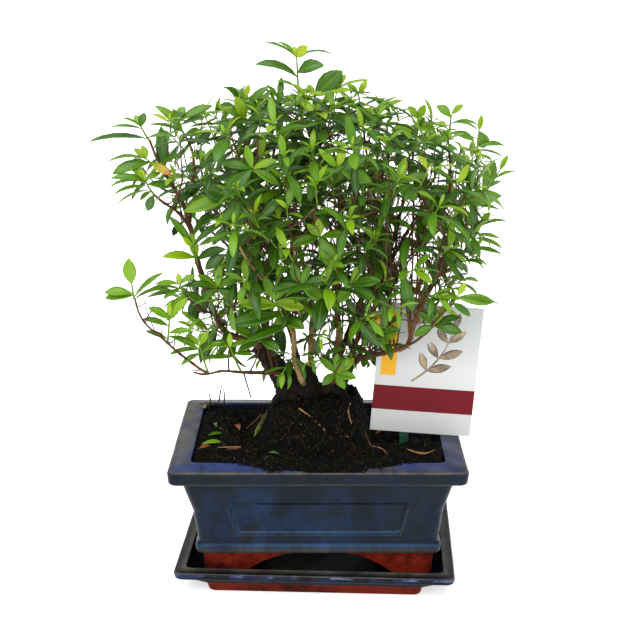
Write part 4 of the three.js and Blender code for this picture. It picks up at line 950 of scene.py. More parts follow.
def leafMaterial():
    # Leaf of the living plant: leathery, waxy above, lit through when young. Young leaves are yellow-green,
    # old ones deep green, each with a paler rib and a dull, paler underside.
    material, add, place = startMaterial("serissaLeaf")
    age, across, along, under, dry = (add("Attribute", {"attribute_name": key}, out="Fac")
                                      for key in ("age", "across", "along", "under", "dry"))
    patch = add("TexNoise", {"Scale": 160, "Detail": 3}, {"Vector": place})
    shift = add("Math", {"operation": "MULTIPLY_ADD", 1: 0.24, 2: -0.12}, {0: patch})
    aged = add("Math", {"operation": "ADD", "use_clamp": True}, {0: age, 1: shift})
    stops = [(0.0, "#b2c01f"), (0.2, "#8cad12"), (0.42, "#6c9a0a"), (0.68, "#447408"), (1.0, "#244c08")]
    green = add("ValToRGB", {"stops": stops}, {"Fac": aged})
    stops = [(0.2, "#8f9c18"), (0.65, "#c2a21a"), (0.95, "#b0500c")]
    wither = add("ValToRGB", {"stops": stops}, {"Fac": along})
    blade = add("Mix", {}, {0: dry, 6: green, 7: wither})
    side = add("Math", {"operation": "ABSOLUTE"}, {0: across})
    rib = add("MapRange", {"From Min": 0.03, "From Max": 0.13, "To Min": 0.35, "To Max": 0}, {"Value": side})
    ribbed = add("Mix", {7: linear("#86a330")}, {0: rib, 6: blade})
    dull = add("Math", {"operation": "MULTIPLY", 1: 0.45}, {0: under})
    # veins run from the rib to the edge at a slant, a soft wave on either side, and the rib is a groove
    slant = add("Math", {"operation": "MULTIPLY", 1: -9}, {0: side})
    veins = add("Math", {"operation": "MULTIPLY_ADD", 1: 26}, {0: along, 2: slant})
    swing = add("Math", {"operation": "SINE"}, {0: veins})
    wave = add("Math", {"operation": "MULTIPLY", 1: 0.16}, {0: swing})
    groove = add("Math", {"operation": "MULTIPLY_ADD", 1: -1.2}, {0: rib, 2: wave})
    settings = {"Roughness": 0.34, "Specular IOR Level": 0.42, "Subsurface Weight": 0.2,
                "Subsurface Radius": (0.5, 1.0, 0.15), "Subsurface Scale": 0.6 * mm}
    return finishMaterial(material, add, settings, {
        "Base Color": add("Mix", {7: linear("#5a7d34")}, {0: dull, 6: ribbed}),
        "Normal": add("Bump", {"Strength": 0.35, "Distance": 0.25 * mm}, {"Height": groove}),
    })


def buildTubes(name, paths, radii, around, material, replaces=()):
    # tubes that carry what the bark reads: the length along them and the share of the way round
    steps = np.linalg.norm(np.diff(paths, axis=1), axis=-1)
    along = np.concatenate([np.zeros((len(paths), 1)), np.cumsum(steps, axis=1)], axis=1)
    values = {"along": np.repeat(along[:, :, None], around, 2),
              "around": np.tile(np.abs(np.linspace(-1, 1, around)), along.shape + (1,))}
    makePiece(name, tubes(paths, radii, around), [material], values, replaces)


# Trunk: lumps grown together, each forking into the stems, and surface roots that run into the soil
trunk = {
    "parts": [
        ([12, 8.2, 4.8, 3.4], [(-10, 82, 2), (-16, 98, 2), (-23, 108, 3), (-32, 119, 4)]),
        ([13, 8.4, 4.4, 2.6], [(-3, 82, 0), (-5, 95, 0), (-5, 103, 1), (-5, 109, 2)]),
        ([12, 8, 4.4, 2.8], [(5, 82, 2), (9, 95, 2), (12, 103, 3), (14, 110, 4)]),
        ([7, 4.8, 2.6], [(-4, 84, 8), (-6, 97, 12), (-8, 106, 15)]),
        ([3.4, 2.2, 1.2], [(-16, 96, -3), (-21, 91, -8), (-25, 86, -9)]),
        ([3, 2, 1], [(8, 96, -4), (14, 91, -8), (18, 84, -14)]),
    ],
    "around": 40, "steps": 60, "furrow": 1.15,
}


def buildTrunk():
    # each part is a tube with its skin pushed in and out by lumps of three sizes, less where it is thin
    shells = []
    for radii, route in trunk["parts"]:
        path = curveThrough(seen(route), trunk["steps"])
        radius = np.interp(np.linspace(0, len(radii) - 1, trunk["steps"]), np.arange(len(radii)), radii)
        shell = tubes(path[None], radius[None], trunk["around"])[0]
        furrow = lumps(shell * (1, 1, 0.4), 4, 31) + 0.8 * lumps(shell * (1, 1, 0.5), 1.9, 32)
        furrow = trunk["furrow"] * (furrow + 0.5 * lumps(shell, 0.9, 33))
        depth = furrow * np.minimum(1, radius / 5)[:, None]
        shells.append(shell + unit(shell - path[:, None]) * depth[..., None])
    points = np.array(shells)
    turn = np.tile(np.abs(np.linspace(-1, 1, trunk["around"])) * 5, (len(shells), trunk["steps"], 1))
    values = {"along": points[..., 2], "around": turn}
    makePiece("trunk_bark", points, [barks["trunk"]], values, ["trunk"])


def buildStems():  # each stem is one piece with the side twigs that grew on it
    for stem in dict.fromkeys(entry[0] for entry in branches.values()):
        own = [name for name, entry in branches.items() if entry[0] == stem]
        paths = np.array([curves[name] for name in own])
        bark = "pale" if stem in ("stem_middle_left", "stem_middle") else "stem"
        if bark == "pale":  # rooted deeper in the trunk's bark
            paths[0, :12, 1] += np.linspace(7, 0, 12)
        radii = []
        for name in own:
            stops = branches[name][2]
            radius = np.interp(np.linspace(0, len(stops) - 1, curveSteps), np.arange(len(stops)), stops)
            # a knot where each pair of old leaves sat, every 9 mm or so, and an uneven girth between
            length = np.linalg.norm(np.diff(curves[name], axis=0), axis=1).sum()
            knots = softLine(np.mod(np.linspace(0, length, curveSteps) + 3, 9), 4.5, 1.1)
            radii.append(radius * (0.92 + 0.22 * knots + 0.12 * lumps(curves[name], 7, 41)))
        paths = paths + 0.5 * np.stack([lumps(paths, 13, 42 + k) for k in range(3)], -1)
        buildTubes(stem + "_bark", paths, np.array(radii), 9, barks[bark], [stem])


# Leaves: rings of six points, both edges, the blade's two halves, and the rib above and below
leaf = {
    "stations": [0, 0.07, 0.2, 0.38, 0.58, 0.77, 0.91, 0.98, 1], "across": [1, 0.52, 0, -0.52, -1, 0],
    "thickness": 0.26, "stalk": 0.05, "width": 0.32, "lastShare": 0.72, "firstOpen": 84, "lastOpen": 44,
}


def leafShells(grown):
    # A leaf bends evenly along its length, so its rib is an arc: L sin(bt)/b ahead and L (1 - cos bt)/b down.
    # Its half width is sin(pi t^p)^q of the greatest, and the halves fold up from the rib.
    base, ahead, up = (np.array([g[key] for g in grown])[:, None] for key in ("base", "ahead", "up"))
    length, width, bend, fold, belly, wave, age = (
        np.array([g[key] for g in grown])[:, None, None]
        for key in ("length", "width", "bend", "fold", "belly", "wave", "age"))
    t = np.array(leaf["stations"])[None, :, None]
    bend = np.where(np.abs(bend) < 0.02, 0.02, bend)
    side = unit(np.cross(up, ahead))
    face = np.cross(ahead, side)
    rib = base + length * (ahead * np.sin(bend * t) - face * (1 - np.cos(bend * t))) / bend
    normal = face * np.cos(bend * t) + ahead * np.sin(bend * t)
    swell = np.sin(np.pi * t ** (0.95 + 0.35 * belly)).clip(0) ** (1.02 - 0.34 * belly)
    half = width / 2 * np.maximum(swell, leaf["stalk"] * (1 - t))
    lift = half * np.sin(fold)
    ripple = half * wave * np.sin(9 * t + 40 * wave)
    edge = side * half * np.cos(fold)
    rings = np.stack([
        rib + edge + normal * (lift + ripple),
        rib + edge * 0.52 + normal * (lift * 0.6 + half * 0.05),
        rib,
        rib - edge * 0.52 + normal * (lift * 0.6 + half * 0.05),
        rib - edge + normal * (lift - ripple),
        rib - normal * leaf["thickness"],
    ], axis=2)
    bare = np.zeros(rings.shape[:3])
    return rings, {"along": bare + t, "across": bare + leaf["across"], "under": bare + (0, 0, 0, 0, 0, 1),
                   "age": bare + age.clip(0.1), "dry": bare + (age < 0)}


def grownLeaf(base, ahead, up, length, age, width=None, bend=None, fold=None, belly=None):
    # what a leaf is made from. What isn't given is drawn at random, in this order.
    return {
        "base": base, "ahead": unit(ahead), "up": up, "length": length, "age": age,
        "width": width or length * leaf["width"] * seeded.uniform(0.82, 1.2),
        "bend": seeded.uniform(0.25, 1.15) if bend is None else np.radians(bend),
        "fold": seeded.uniform(0.08, 0.5) if fold is None else fold,
        "belly": seeded.uniform(0.1, 0.9) if belly is None else belly,
        "wave": seeded.uniform(-0.1, 0.1),
    }


def placedLeaf(base, tip, width, tilt, age, arch):
    # The leaf is an arc from base to tip whose ends turn by arch in all, so it starts half of that above its
    # chord. Its length is chord * half / sin(half).
    chord = tip - base
    way = unit(chord)
    turn = np.radians(tilt)
    face = np.array([0, -np.sin(turn), np.cos(turn)])
    face = unit(face - way * face.dot(way) + 1e-6)
    half = np.radians(max(arch, 3)) / 2
    length = np.linalg.norm(chord) * half / np.sin(half)
    return grownLeaf(base, way * np.cos(half) + face * np.sin(half), face * np.cos(half) - way * np.sin(half),
                     length, age, width, 2 * np.degrees(half), None, 0.55)


def leavesOn(path, pairs, length, turn, first=0.3):
    # Pairs at even steps of the shoot, each a quarter turn from the last, smaller, steeper, younger upwards
    way = unit(path[-1] - path[0])
    level = np.array([1.0, 0, 0]) if abs(way[2]) > 0.9 else np.array([0, 0, 1.0])
    across = unit(np.cross(way, level))
    other = np.cross(way, across)
    grown = []
    for pair in range(pairs):
        share = pair / max(pairs - 1, 1)
        roll = np.radians(turn + 90 * pair + seeded.uniform(-18, 18))
        opening = leaf["firstOpen"] + (leaf["lastOpen"] - leaf["firstOpen"]) * share
        opening = np.radians(opening + seeded.uniform(-10, 10))
        at = path[int((first + (0.97 - first) * share) * (len(path) - 1))]
        for half in (0, np.pi):
            out = across * np.cos(roll + half) + other * np.sin(roll + half)
            ahead = way * np.cos(opening) + out * np.sin(opening)
            up = np.array([0, 0, 1.0]) - ahead * ahead[2]
            if np.linalg.norm(up) < 0.35:
                up = -out
            up = unit(up + seeded.normal(0, 0.28, 3))
            size = length * (1 + (leaf["lastShare"] - 1) * share ** 1.6) * seeded.uniform(0.78, 1.1)
            age = np.clip(0.88 - 0.52 * share ** 1.5 + seeded.normal(0, 0.15), 0.1, 1)
            grown.append(grownLeaf(at + out * 0.3, ahead, up, size, age))
    # the growing tip: a pair of small bright leaves, nearly closed
    for half in (0, np.pi):
        out = across * np.cos(roll + np.pi / 2 + half) + other * np.sin(roll + np.pi / 2 + half)
        tip = seeded.uniform(0.18, 0.36)
        ahead, up = way + out * 0.8, -out + 0.1 * way
        grown.append(grownLeaf(path[-1], ahead, up, length * tip, tip, bend=25, belly=0.2))
    return grown


def clampInside(points):  # nothing grows past the CAD model's box
    low, high = (np.array(corner) / mm for corner in cadBounds)
    return np.clip(points, low + 0.2, high - 0.2)


def buildShoot(name, paths, radii, grown, replaces=()):  # green stems and their leaves, one piece
    stem = tubes(paths, radii, 5)
    blades, values = leafShells(grown)
    stemFaces = shellFaces(*stem.shape[:3])
    bladeFaces = shellFaces(*blades.shape[:3], stem[..., 0].size)
    along = np.linspace(0, 1, stem.shape[1])[:, None]
    skin = {"along": along, "across": 0.6, "under": 0, "age": 0.15, "dry": 0}
    sheets = {key: np.concatenate([(np.zeros(stem.shape[:3]) + value).ravel(), values[key].ravel()])
              for key, value in skin.items()}
    points = clampInside(np.concatenate([stem.reshape(-1, 3), blades.reshape(-1, 3)]))
    picks = [1] * len(stemFaces) + [0] * len(bladeFaces)
    faces = stemFaces + bladeFaces
    makePiece(name, points, [foliage, barks["green"]], sheets, replaces, faces, picks)


def shootPath(start, tip, sag=0.6, steps=9):  # a curve whose middle hangs lower by the sag
    middle = (start + tip) / 2 + (0, 0, -sag)
    return curveThrough(np.array([start, middle, tip]), steps)


def buildShoots():  # one piece for each shoot of the CAD model
    count = 0
    for name, (branch, share, tip, leaves) in shoots.items():
        path = shootPath(curves[branch][int(share * (curveSteps - 1))], seen(tip)[0])
        if isinstance(leaves, list):
            grown = [placedLeaf(path[round(at * (len(path) - 1))], seen((x, z, back))[0], *look)
                     for at, x, z, back, *look in leaves]
        else:
            grown = leavesOn(path, leaves[0] + 1, leaves[1], 0)
        count += len(grown)
        radii = np.linspace(0.6, 0.4, len(path))[None]
        buildShoot(f"shoot_{name}_leafy", path[None], radii, grown, ["shoot_" + name])
    print("shoots:", len(shoots), "with", count, "leaves")


# Fine growth between the main shoots. The outline of the leafy crown is given as it shows from the front.
crown = {
    "outline": [
        (-18, 104), (-34, 112), (-50, 116), (-60, 124), (-62, 134), (-68, 142), (-66, 152), (-54, 156),
        (-46, 164), (-48, 176), (-58, 186), (-72, 190), (-84, 198), (-94, 206), (-92, 214), (-84, 221),
        (-86, 229), (-76, 235), (-60, 237), (-46, 241), (-32, 246), (-14, 246), (-2, 250), (12, 248),
        (26, 240), (40, 233), (58, 234), (70, 229), (78, 220), (82, 208), (82, 196), (84, 184), (82, 170),
        (74, 158), (72, 146), (62, 134), (48, 122), (32, 116), (18, 106), (0, 104),
    ],
    "halfDepth": [(100, 12), (125, 30), (150, 44), (185, 54), (220, 50), (240, 34), (255, 14)],  # by height
    "spacing": 13, "tries": 9000, "inner": 0.35, "margin": 5,
    "bare": [  # twiggy places: across, height, half width, half height, how much wider apart the shoots stand
        (42, 168, 16, 28, 0.6), (-72, 214, 28, 32, 0.4), (-5, 176, 13, 11, 0.5), (14, 214, 13, 8, 0.5),
        (-12, 124, 12, 12, 0.6),
    ],
    "pairs": (2, 5), "leaf": (12.5, 20), "largeLeaf": (20, 28), "largeShare": 0.2, "lowLeaf": 0.7,
    "risers": 52, "riserSteps": 40, "twigSteps": 12, "bareTwigs": 520,
}


def insideOutline(x, z):  # by the crossings of a ray to the right, and how far off the outline is
    a = np.array(crown["outline"], float)
    b = np.roll(a, -1, 0)
    straddles = (a[:, 1] > z[:, None]) != (b[:, 1] > z[:, None])
    crossing = a[:, 0] + (z[:, None] - a[:, 1]) * (b[:, 0] - a[:, 0]) / (b[:, 1] - a[:, 1] + 1e-9)
    inside = (straddles & (x[:, None] < crossing)).sum(1) % 2 == 1
    share = ((np.stack([x, z], -1)[:, None] - a) * (b - a)).sum(-1) / ((b - a) ** 2).sum(-1)
    nearest = a + (b - a) * share.clip(0, 1)[..., None]
    return inside, np.linalg.norm(np.stack([x, z], -1)[:, None] - nearest, axis=-1).min(1)


def crownPlaces(count, spacing, taken):
    # Random places inside the outline, each kept if it is far enough from those before it. They fill a shell:
    # half the crown's depth comes from the height and from how near the outline is.
    x = seeded.uniform(-95, 85, count)
    z = seeded.uniform(102, 252, count)
    inside, near = insideOutline(x, z)
    inside &= near > crown["margin"]
    deep = np.interp(z, *np.array(crown["halfDepth"]).T) * np.sqrt(np.clip(1 - (x / 104) ** 2, 0.1, 1))
    deep = np.minimum(deep, 8 + 2.2 * near)
    side = seeded.uniform(-1, 1, count)
    shell = np.where(seeded.uniform(0, 1, count) < crown["inner"], side, np.sign(side) * np.abs(side) ** 0.35)
    # wider apart where the photo shows bare twigs: x, z, half width, half height, how much
    gap = spacing + 0 * x
    for middleX, middleZ, wide, high, more in crown["bare"]:
        gap += spacing * more * ease(1.2, 0.7, np.hypot((x - middleX) / wide, (z - middleZ) / high))
    places, gap = seen(np.stack([x, z, shell * deep], -1)[inside]), gap[inside]
    kept = list(taken)
    for place, apart in zip(places, gap):
        if np.min(np.linalg.norm(np.array(kept) - place, axis=1)) > apart:
            kept.append(place)
    return np.array(kept[len(taken):])


def twigTo(place, joints, below):
    # A twig leaves the nearest point of what has grown so far, at least that far below it, and bends upwards.
    # Sideways counts twice as much as upwards, which makes the twigs steep.
    near = joints[joints[:, 2] < place[2] - below]
    start = near[np.argmin(np.linalg.norm((near - place) * (1.35, 1.35, 0.7), axis=1))]
    length = np.linalg.norm(place - start)
    bends = [start + (place - start) * share - (0, 0, 0.1 * length * np.sin(np.pi * share))
             for share in (0.35, 0.7)]
    kinks = seeded.normal(0, 0.035 * length, (2, 3))
    route = np.array([start, bends[0] + kinks[0], bends[1] + kinks[1], place])
    return curveThrough(route, crown["twigSteps"])


def growTowards(places, joints, below):
    # Twigs to all places, the lowest first, each of them there for the next to branch from
    order = np.argsort(places[:, 2] + 0.3 * np.abs(places[:, 0]))
    paths = np.zeros((len(places), crown["twigSteps"], 3))
    for index in order:
        paths[index] = twigTo(places[index], joints, below)
        joints = np.concatenate([joints, paths[index][4:]])
    return paths, joints


def buildFineGrowth():  # risers, a twig to each free place in the crown, their leaves, then bare twigs
    joints = np.concatenate([curve[12:] for curve in curves.values()]
                            + [curveThrough(seen(route), 40)[14:] for _, route in trunk["parts"][:4]])
    # risers: long thin stems that fan out from the trunk's forks inside the crown
    x = np.where(seeded.uniform(0, 1, crown["risers"]) < 0.2, seeded.uniform(24, 62, crown["risers"]),
                 seeded.uniform(-52, 62, crown["risers"]))
    z = seeded.uniform(165, 215, crown["risers"])
    tops = seen(np.stack([x, z, seeded.uniform(-36, 40, crown["risers"]) * (1 - np.abs(x) / 150)], -1))
    base = np.concatenate([curve[6:70:4] for name, curve in curves.items() if branches[name][1] is None])
    risers = []
    for top in tops:
        far = np.linalg.norm((base - top) * (1, 1, 0.15), axis=1)
        far += 40 * (base[:, 0] < -26)  # none from the low left stem
        start = base[np.argmin(far + seeded.uniform(0, 14, len(base)))]
        shares = np.array([0.2, 0.45, 0.7, 0.88])[:, None]
        bends = start + (top - start) * shares + seeded.normal(0, 1.5, (4, 3))
        bends = bends + (0, 0, 5) * np.sin(np.pi * shares)
        risers.append(curveThrough(np.vstack([start, bends, top]), crown["riserSteps"]))
    risers = np.array(risers)
    radii = np.linspace(0.62, 0.34, crown["riserSteps"]) * seeded.uniform(0.75, 1.25, (len(risers), 1))
    buildTubes("riser_stems", risers, radii * (1 + 0.2 * lumps(risers, 5, 45)), 6, barks["stem"])
    joints = np.concatenate([joints, risers[:, 6:].reshape(-1, 3)])

    nodes = np.array([seen(node)[0] for node, _ in tufts])
    tips = np.array([seen(tip)[0] for _, _, tip, *_ in shoots.values()])
    places = crownPlaces(crown["tries"], crown["spacing"], np.concatenate([tips, nodes]))
    paths, joints = growTowards(np.concatenate([nodes, places]), joints, 9)
    lengths = np.linalg.norm(paths[:, -1] - paths[:, 0], axis=1)
    radii = np.interp(lengths, [5, 60], [0.32, 0.55])[:, None] * np.linspace(1.2, 0.8, crown["twigSteps"])
    buildTubes("fine_twigs", paths, radii, 5, barks["stem"])

    grown = [placedLeaf(nodes[index], seen((x, z, back))[0], width, tilt, age, arch)
             for index, (_, leaves) in enumerate(tufts) for x, z, back, width, tilt, age, arch in leaves]
    leafy = []
    middle = np.array([2, 0, 150])
    for place in places:
        way = unit(unit((place - middle) * (1, 1.3, 1)) + (0, 0, 0.45) + seeded.normal(0, 0.25, 3))
        shoot = shootPath(place, place + way * seeded.uniform(6, 13), 0.3)
        leafy.append(shoot)
        sizes = crown["largeLeaf"] if seeded.uniform() < crown["largeShare"] else crown["leaf"]
        size = seeded.uniform(*sizes) * np.interp(place[2], [105, 150], [crown["lowLeaf"], 1])
        grown += leavesOn(shoot, seeded.integers(*crown["pairs"]), size, seeded.uniform(0, 180), 0.05)
    leafy = np.array(leafy)
    third = len(grown) // 3
    radii = np.linspace(0.4, 0.3, leafy.shape[1])[None] * np.ones((len(leafy), 1))
    buildShoot("fine_shoots", leafy, radii, grown[:third])
    for name, part in (("lower", grown[third:2 * third]), ("upper", grown[2 * third:])):
        blades, values = leafShells(part)
        makePiece("fine_leaves_" + name, clampInside(blades), [foliage], values)
    print("fine growth:", len(places) + len(nodes), "twigs with", len(grown), "leaves")

    # bare twigs: short, dry and dark, at wide angles
    starts = joints[seeded.integers(0, len(joints), crown["bareTwigs"] * 6)]
    starts = starts[(starts[:, 2] > 112) & (starts[:, 2] < 215)]
    twiggy = np.hypot((starts[:, 0] - 42) / 22, (starts[:, 2] - 168) / 34) < 1
    half = crown["bareTwigs"] // 2
    starts = np.concatenate([starts[twiggy][:half], starts[~twiggy][:half]])
    ways = unit(seeded.normal(0, 1, starts.shape) + (0, 0, 1.4))
    long = seeded.uniform(5, 20, (len(starts), 1))
    along = np.linspace(0, 1, 7)[None, :, None]
    bare = starts[:, None] + ways[:, None] * long[:, None] * along
    bare = bare + seeded.normal(0, 0.35, bare.shape) * along + (0, 0, 2.5) * along ** 2
    radii = np.linspace(0.3, 0.12, 7)[None] * np.ones((len(bare), 1))
    buildTubes("bare_twigs", clampInside(bare), radii, 4, barks["stem"])


# Label: a laminated card with a plain design of its own, a green stake behind it
label = {
    "width": 52, "height": 69, "thickness": 0.5, "x": 52.6, "y": -17, "bottom": 77, "lean": 4.3, "bow": 0.25,
    "columns": 27, "rows": 35, "inkGap": 0.33,
    "band": (0.17, 0.36), "strip": (0.05, 0.2), "stripTop": 0.93, "stripBottom": 0.44,
    "stalk": [(-7, 28), (1, 35), (8, 45), (12, 57)],
    "sprig": [  # base across and up the card, heading, length, width: leaves of the printed sprig
        (0, 34, 15, 13, 4.8), (0, 34, 112, 11, 4.2), (5.5, 41, 22, 13, 4.8), (5.5, 41, 125, 12, 4.4),
        (9.6, 49.5, 38, 11, 4.2), (9.6, 49.5, 130, 10, 4), (12, 57, 75, 9, 3.6),
    ],
}


def cardPoint(u, w, y):  # a place on the card: u across from its middle, w up from its foot
    lean = np.radians(label["lean"])
    x = label["x"] + u * np.cos(lean) + w * np.sin(lean)
    z = label["bottom"] - u * np.sin(lean) + w * np.cos(lean)
    return np.stack([x, y + 0 * x, z], -1)


def cardMaterial():  # coated card, offset printed and laminated: even colours, sharp edges, a clear gloss
    material, add, place = startMaterial("laminatedCard")
    u, w = (add("Attribute", {"attribute_name": key}, out="Fac") for key in ("across", "up"))
    colour = add("ValToRGB", {"stops": [(0, "#c2c4c1"), (0.5, "#cfd1cf"), (1, "#b2b5b3")]}, {"Fac": w})
    for low, high, start, end, dye in (
        (*label["band"], -1, 2, "#6c0f1a"),
        (label["stripBottom"], label["stripTop"], *label["strip"], "#e9ae2e"),
    ):
        mask = add("Math", {"operation": "GREATER_THAN", 1: low}, {0: w})
        for kind, limit, at in (("LESS_THAN", high, w), ("GREATER_THAN", start, u), ("LESS_THAN", end, u)):
            part = add("Math", {"operation": kind, 1: limit}, {0: at})
            mask = add("Math", {"operation": "MULTIPLY"}, {0: mask, 1: part})
        colour = add("Mix", {7: linear(dye)}, {0: mask, 6: colour})
    fibre = add("TexNoise", {"Scale": 700, "Detail": 2}, {"Vector": place})
    relief = add("Bump", {"Strength": 0.06, "Distance": 0.1 * mm}, {"Height": fibre})
    settings = {"Roughness": 0.38, "Specular IOR Level": 0.1, "Coat Weight": 0.05, "Coat Roughness": 0.08}
    return finishMaterial(material, add, settings, {"Base Color": colour, "Normal": relief})


def buildLabel():  # the card bows forwards by bow (1 - (2u / width)^2), with its printed sprig on it
    u, w = np.meshgrid(np.linspace(-1, 1, label["columns"]) * label["width"] / 2,
                       np.linspace(0, 1, label["rows"]) * label["height"])
    bow = label["bow"] * (1 - (2 * u / label["width"]) ** 2)
    sheets = [cardPoint(u, w, label["y"] - bow + side * label["thickness"] / 2) for side in (-1, 1)]
    # each row runs across the front and back again behind, so that the rows close round the card
    points = np.concatenate([sheets[0], sheets[1][:, ::-1]], axis=1)
    across = np.concatenate([u / label["width"] + 0.5, u * 0 - 5], axis=1)  # the back stays bare
    up = np.concatenate([w, w], axis=1) / label["height"]
    makePiece("plant_label_card", points[None], [cardMaterial()], {"across": across, "up": up},
              ["plant_label"], smooth=False)
    face = label["y"] - label["bow"]  # the card's front, where it bows out most
    grown = []
    for x, z, heading, length, width in label["sprig"]:
        turn = np.radians(heading - label["lean"])
        base = cardPoint(np.array(float(x)), np.array(float(z)), face - label["inkGap"])
        ahead = np.array([np.cos(turn), 0, np.sin(turn)])
        grown.append(grownLeaf(base, ahead, np.array([0, -1.0, 0]), length, 0.5, width, 0, 0.0, 0.4))
        grown[-1]["wave"] = 0
    across, up = curveThrough(np.array([(*place, 0) for place in label["stalk"]], float), 24)[:, :2].T
    stalk = tubes(cardPoint(across, up, face - label["inkGap"])[None], np.linspace(0.55, 0.3, 24)[None], 6)
    for name, shape in (("plant_label_sprig", leafShells(grown)[0]), ("plant_label_stalk", stalk)):
        shape[..., 1] = face - 0.25 + 0.12 * (shape[..., 1] - face + 0.3)  # pressed flat on the card
        makePiece(name, shape, [ink])


def dress(node, material):  # a CAD node keeps its shape and gets a finished material
    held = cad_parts[node]
    held.data.materials.clear()
    held.data.materials.append(material)


# Litter on the soil: a mossy root, dry twigs, fallen leaves, lime crust in the rim's back left corner
litter = {
    "root": {"places": [(-27, -5), (-30.2, -8), (-33.6, -12)], "radii": (1.5, 1)},
    "twig": {"places": [(45.5, -23.5), (53, -31), (60, -27)], "radii": (0.6, 0.4)},
    "roots": [  # thin roots that run down the mound: places, radius
        ([(-10, -17), (-3.2, -21.6), (3.5, -26)], 0.42), ([(17, -13), (15.5, -18), (17, -22)], 0.5),
        ([(-40, -20), (-46, -19.5), (-52, -19.8)], 0.45), ([(-55, 12), (-50, 3), (-47, -6)], 0.3),
        ([(-31, 18), (-37, 10), (-40, 2)], 0.3), ([(24, -18), (32, -24), (36, -33)], 0.3),
    ],
    # leaves: base, heading, length, width, age
    "brown": [((-42, 3), 105, 12, 4, 0.4)], "green": [((-61, -16.5), 22, 12, 3.4, 0.4)],
    "leaves": [
        ((-58.5, -4.5), 25, 9, 2.4, 0.62), ((-55, 8), 100, 10, 2.6, 0.8), ((-20, -33), 160, 6, 2, 0.9),
    ],
    "withered": [((-62, -24), 40, 9, 2.4, 0.5), ((30, -6), 60, 8, 2.4, 0.5), ((-47, -24), 10, 6, 2, 0.5)],
    "hanging": ((-68.5, 185, -12), (-74, 177.5, -13)),  # a dead leaf on the left stem, base and tip as seen
    "stubble": [  # thin dead twigs as seen: three stand behind the mound, one hangs from the low left stem
        [(-53, 86, 22), (-52, 91, 22), (-51, 97, 21)], [(-50, 85, 24), (-49.6, 90, 24), (-49.8, 95, 24)],
        [(-39.5, 105, -16), (-37.6, 98, -15), (-35.5, 90, -14)],
        [(-58, 84, 20), (-57, 88, 20), (-57.5, 92, 20)],
    ],
    "crust": {"count": 260, "spread": 3.2, "corner": (-60, 39.2), "radius": 4.4, "top": 71.2, "split": 2.36},
}


def overSoil(places, radius):  # a curve over the soil through those places, half sunk in its crumbs
    x, y = curveThrough(np.array([(*place, 0) for place in places], float), 24)[:, :2].T
    return np.stack([x, y, soilTop(x, y) + radius + 0.5], -1)


def fallenLeaf(place, heading, length, width, age):  # it lies on the soil, folded, its tip slightly up
    x, y = map(float, place)
    turn = np.radians(heading)
    ahead = np.array([np.cos(turn), np.sin(turn), 0.12])
    base = np.array([x, y, soilTop(x, y) + 1.6])
    return grownLeaf(base, ahead, np.array([0.1, -0.5, 1.0]), length, age, width, 25, 0.6, 0.4)


def buildLitter():  # what lies on the soil, the twigs stuck in it and the crust on the rim
    for key, node, bark, slot in (
        ("root", "surface_root", "moss", "trunk_bark"), ("twig", "dry_twig", "tan", "stem_bark"),
    ):
        spec = litter[key]
        path = overSoil(spec["places"], spec["radii"][0])
        share = np.linspace(0, 1, 24)
        ends = 0.3 + 0.7 * ease(0, 0.2, share) * ease(1, 0.7, share)
        radii = np.linspace(*spec["radii"], 24) * (1 + 0.25 * lumps(path, 2.5, 61)) * ends
        buildTubes(node + "_bark", path[None], radii[None], 9, barks[bark], [node])
    paths = np.array([overSoil(places, radius) for places, radius in litter["roots"]])
    radii = np.array([radius for _, radius in litter["roots"]])[:, None] * np.linspace(1.1, 0.6, 24)
    buildTubes("thin_roots", paths, radii * (1 + 0.2 * lumps(paths, 2, 62)), 6, barks["tan"])
    paths = np.array([curveThrough(seen(route), 14) for route in litter["stubble"]])
    radii = np.linspace(0.46, 0.3, 14) + 0 * paths[..., 0]
    buildTubes("dead_twigs", paths, radii, 5, barks["fibre"])
    base, tip = seen(litter["hanging"])
    for name, leaves, material, slot, replaced in (
        ("fallen_leaf_brown_blade", litter["brown"], withered, "dry_leaf", ["fallen_leaf_brown"]),
        ("fallen_leaf_green_blade", litter["green"], foliage, "leaf", ["fallen_leaf_green"]),
        ("fallen_leaves_small", litter["leaves"], foliage, "leaf", []),
        ("withered_leaves", litter["withered"], withered, "leaf", []),
    ):
        blades, values = leafShells([fallenLeaf(*spec) for spec in leaves])
        makePiece(name, blades, [material], values, replaced)
    blades, values = leafShells([placedLeaf(base, tip, 4, 50, 0.9, 60)])
    makePiece("dead_leaf_on_stem", blades, [barks["fibre"]], values)
    # crust: small pale crumbs along the inner edge of the rim's back left corner
    spec = litter["crust"]
    count = spec["count"]
    turn = seeded.uniform(np.pi / 2 - 0.5, np.pi + 0.3, count)
    place = np.array(spec["corner"]) + spec["radius"] * np.stack([np.cos(turn), np.sin(turn)], -1)
    place = place + seeded.normal(0, 0.6, (count, 2))
    away = seeded.uniform(-1, 1, count) * spec["spread"]
    onBack = (turn < spec["split"])[:, None]  # drawn out along the back side, the others along the left end
    place += np.where(onBack, np.stack([away, 0 * away], -1), np.stack([0 * away, away], -1))
    centres = np.column_stack([place, np.full(count, spec["top"])])
    scatterCrumbs("rim_lime_crust", centres, seeded.uniform(0.25, 0.7, count), pumice)


placeCamera()
buildStudio()
print("studio set")
peat = soilMaterial()
# crushed pumice: white to buff, dry, rough and full of pores
pumice = mottledMaterial("pumiceGrit", (150, 3), [(0.35, "#3a3226"), (0.55, "#6e6454"), (0.7, "#a09a8c")],
                         {"Roughness": 0.85}, (0.6, 0.3), (1500, 3))
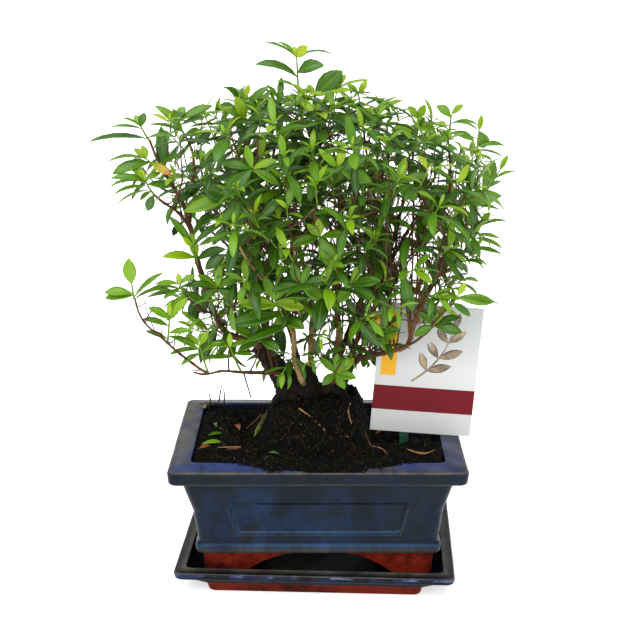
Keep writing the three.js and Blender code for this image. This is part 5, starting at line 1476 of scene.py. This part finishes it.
# a leaf that withered on the soil: papery, orange-brown, curled
withered = mottledMaterial("witheredLeaf", (240, 4), [(0.3, "#4a2210"), (0.5, "#8c4a22"), (0.7, "#b87a48")],
                           {"Roughness": 0.7}, (0.5, 0.3))
# bronze-brown printing ink under the laminate, uneven like a halftone, with the laminate's clear gloss
ink = mottledMaterial("printedInk", (110, 4), [(0.35, "#3b2f24"), (0.5, "#75624a"), (0.68, "#b39f7c")],
                      {"Roughness": 0.35, "Coat Weight": 0.5, "Coat Roughness": 0.08})
# injection-moulded polypropylene: dark green, slightly waxy
plastic = mottledMaterial("mouldedPolypropylene", (220, 3), [(0.35, "#0d3a2c"), (0.65, "#16513c")],
                          {"Roughness": 0.42, "IOR": 1.49}, (0.1, 0.2))
foliage = leafMaterial()
barks = {key: barkMaterial(*spec) for key, spec in {
    "trunk": ("oldSerissaBark",
              [(0.42, "#040201"), (0.5, "#120b06"), (0.57, "#2b1c10"), (0.66, "#58432c")], 4),
    "stem": ("youngSerissaBark",
             [(0.32, "#25160b"), (0.46, "#50351c"), (0.6, "#7a5533"), (0.78, "#a58154")], 6),
    "pale": ("paleSerissaBark",
             [(0.32, "#3d2814"), (0.46, "#7a5c34"), (0.6, "#a88c5a"), (0.78, "#c4b07c")], 6),
    "fibre": ("deadRootFibre", [(0.35, "#0d0805"), (0.55, "#2a1d12"), (0.75, "#5a4630")], 6),
    "moss": ("mossyRoot", [(0.34, "#0d0d06"), (0.45, "#3c4416"), (0.57, "#7c8530"), (0.74, "#b0aa6a")], 5),
    "tan": ("driedTwig", [(0.3, "#6a4526"), (0.5, "#a27a48"), (0.75, "#c9a878")], 5),
    "green": ("greenShootSkin", [(0.3, "#466a16"), (0.5, "#6a8c20"), (0.7, "#8aa233")], 5),
}.items()}
buildPot()
buildTray()
print("pot and tray built")
buildSoil()
print("soil built")
buildTrunk()
buildStems()
print("trunk and stems built")
buildShoots()
buildFineGrowth()
buildLabel()
for node in ("label_stake", "drainage_mesh_left", "drainage_mesh_right"):
    dress(node, plastic)
buildLitter()
print("label and litter built")
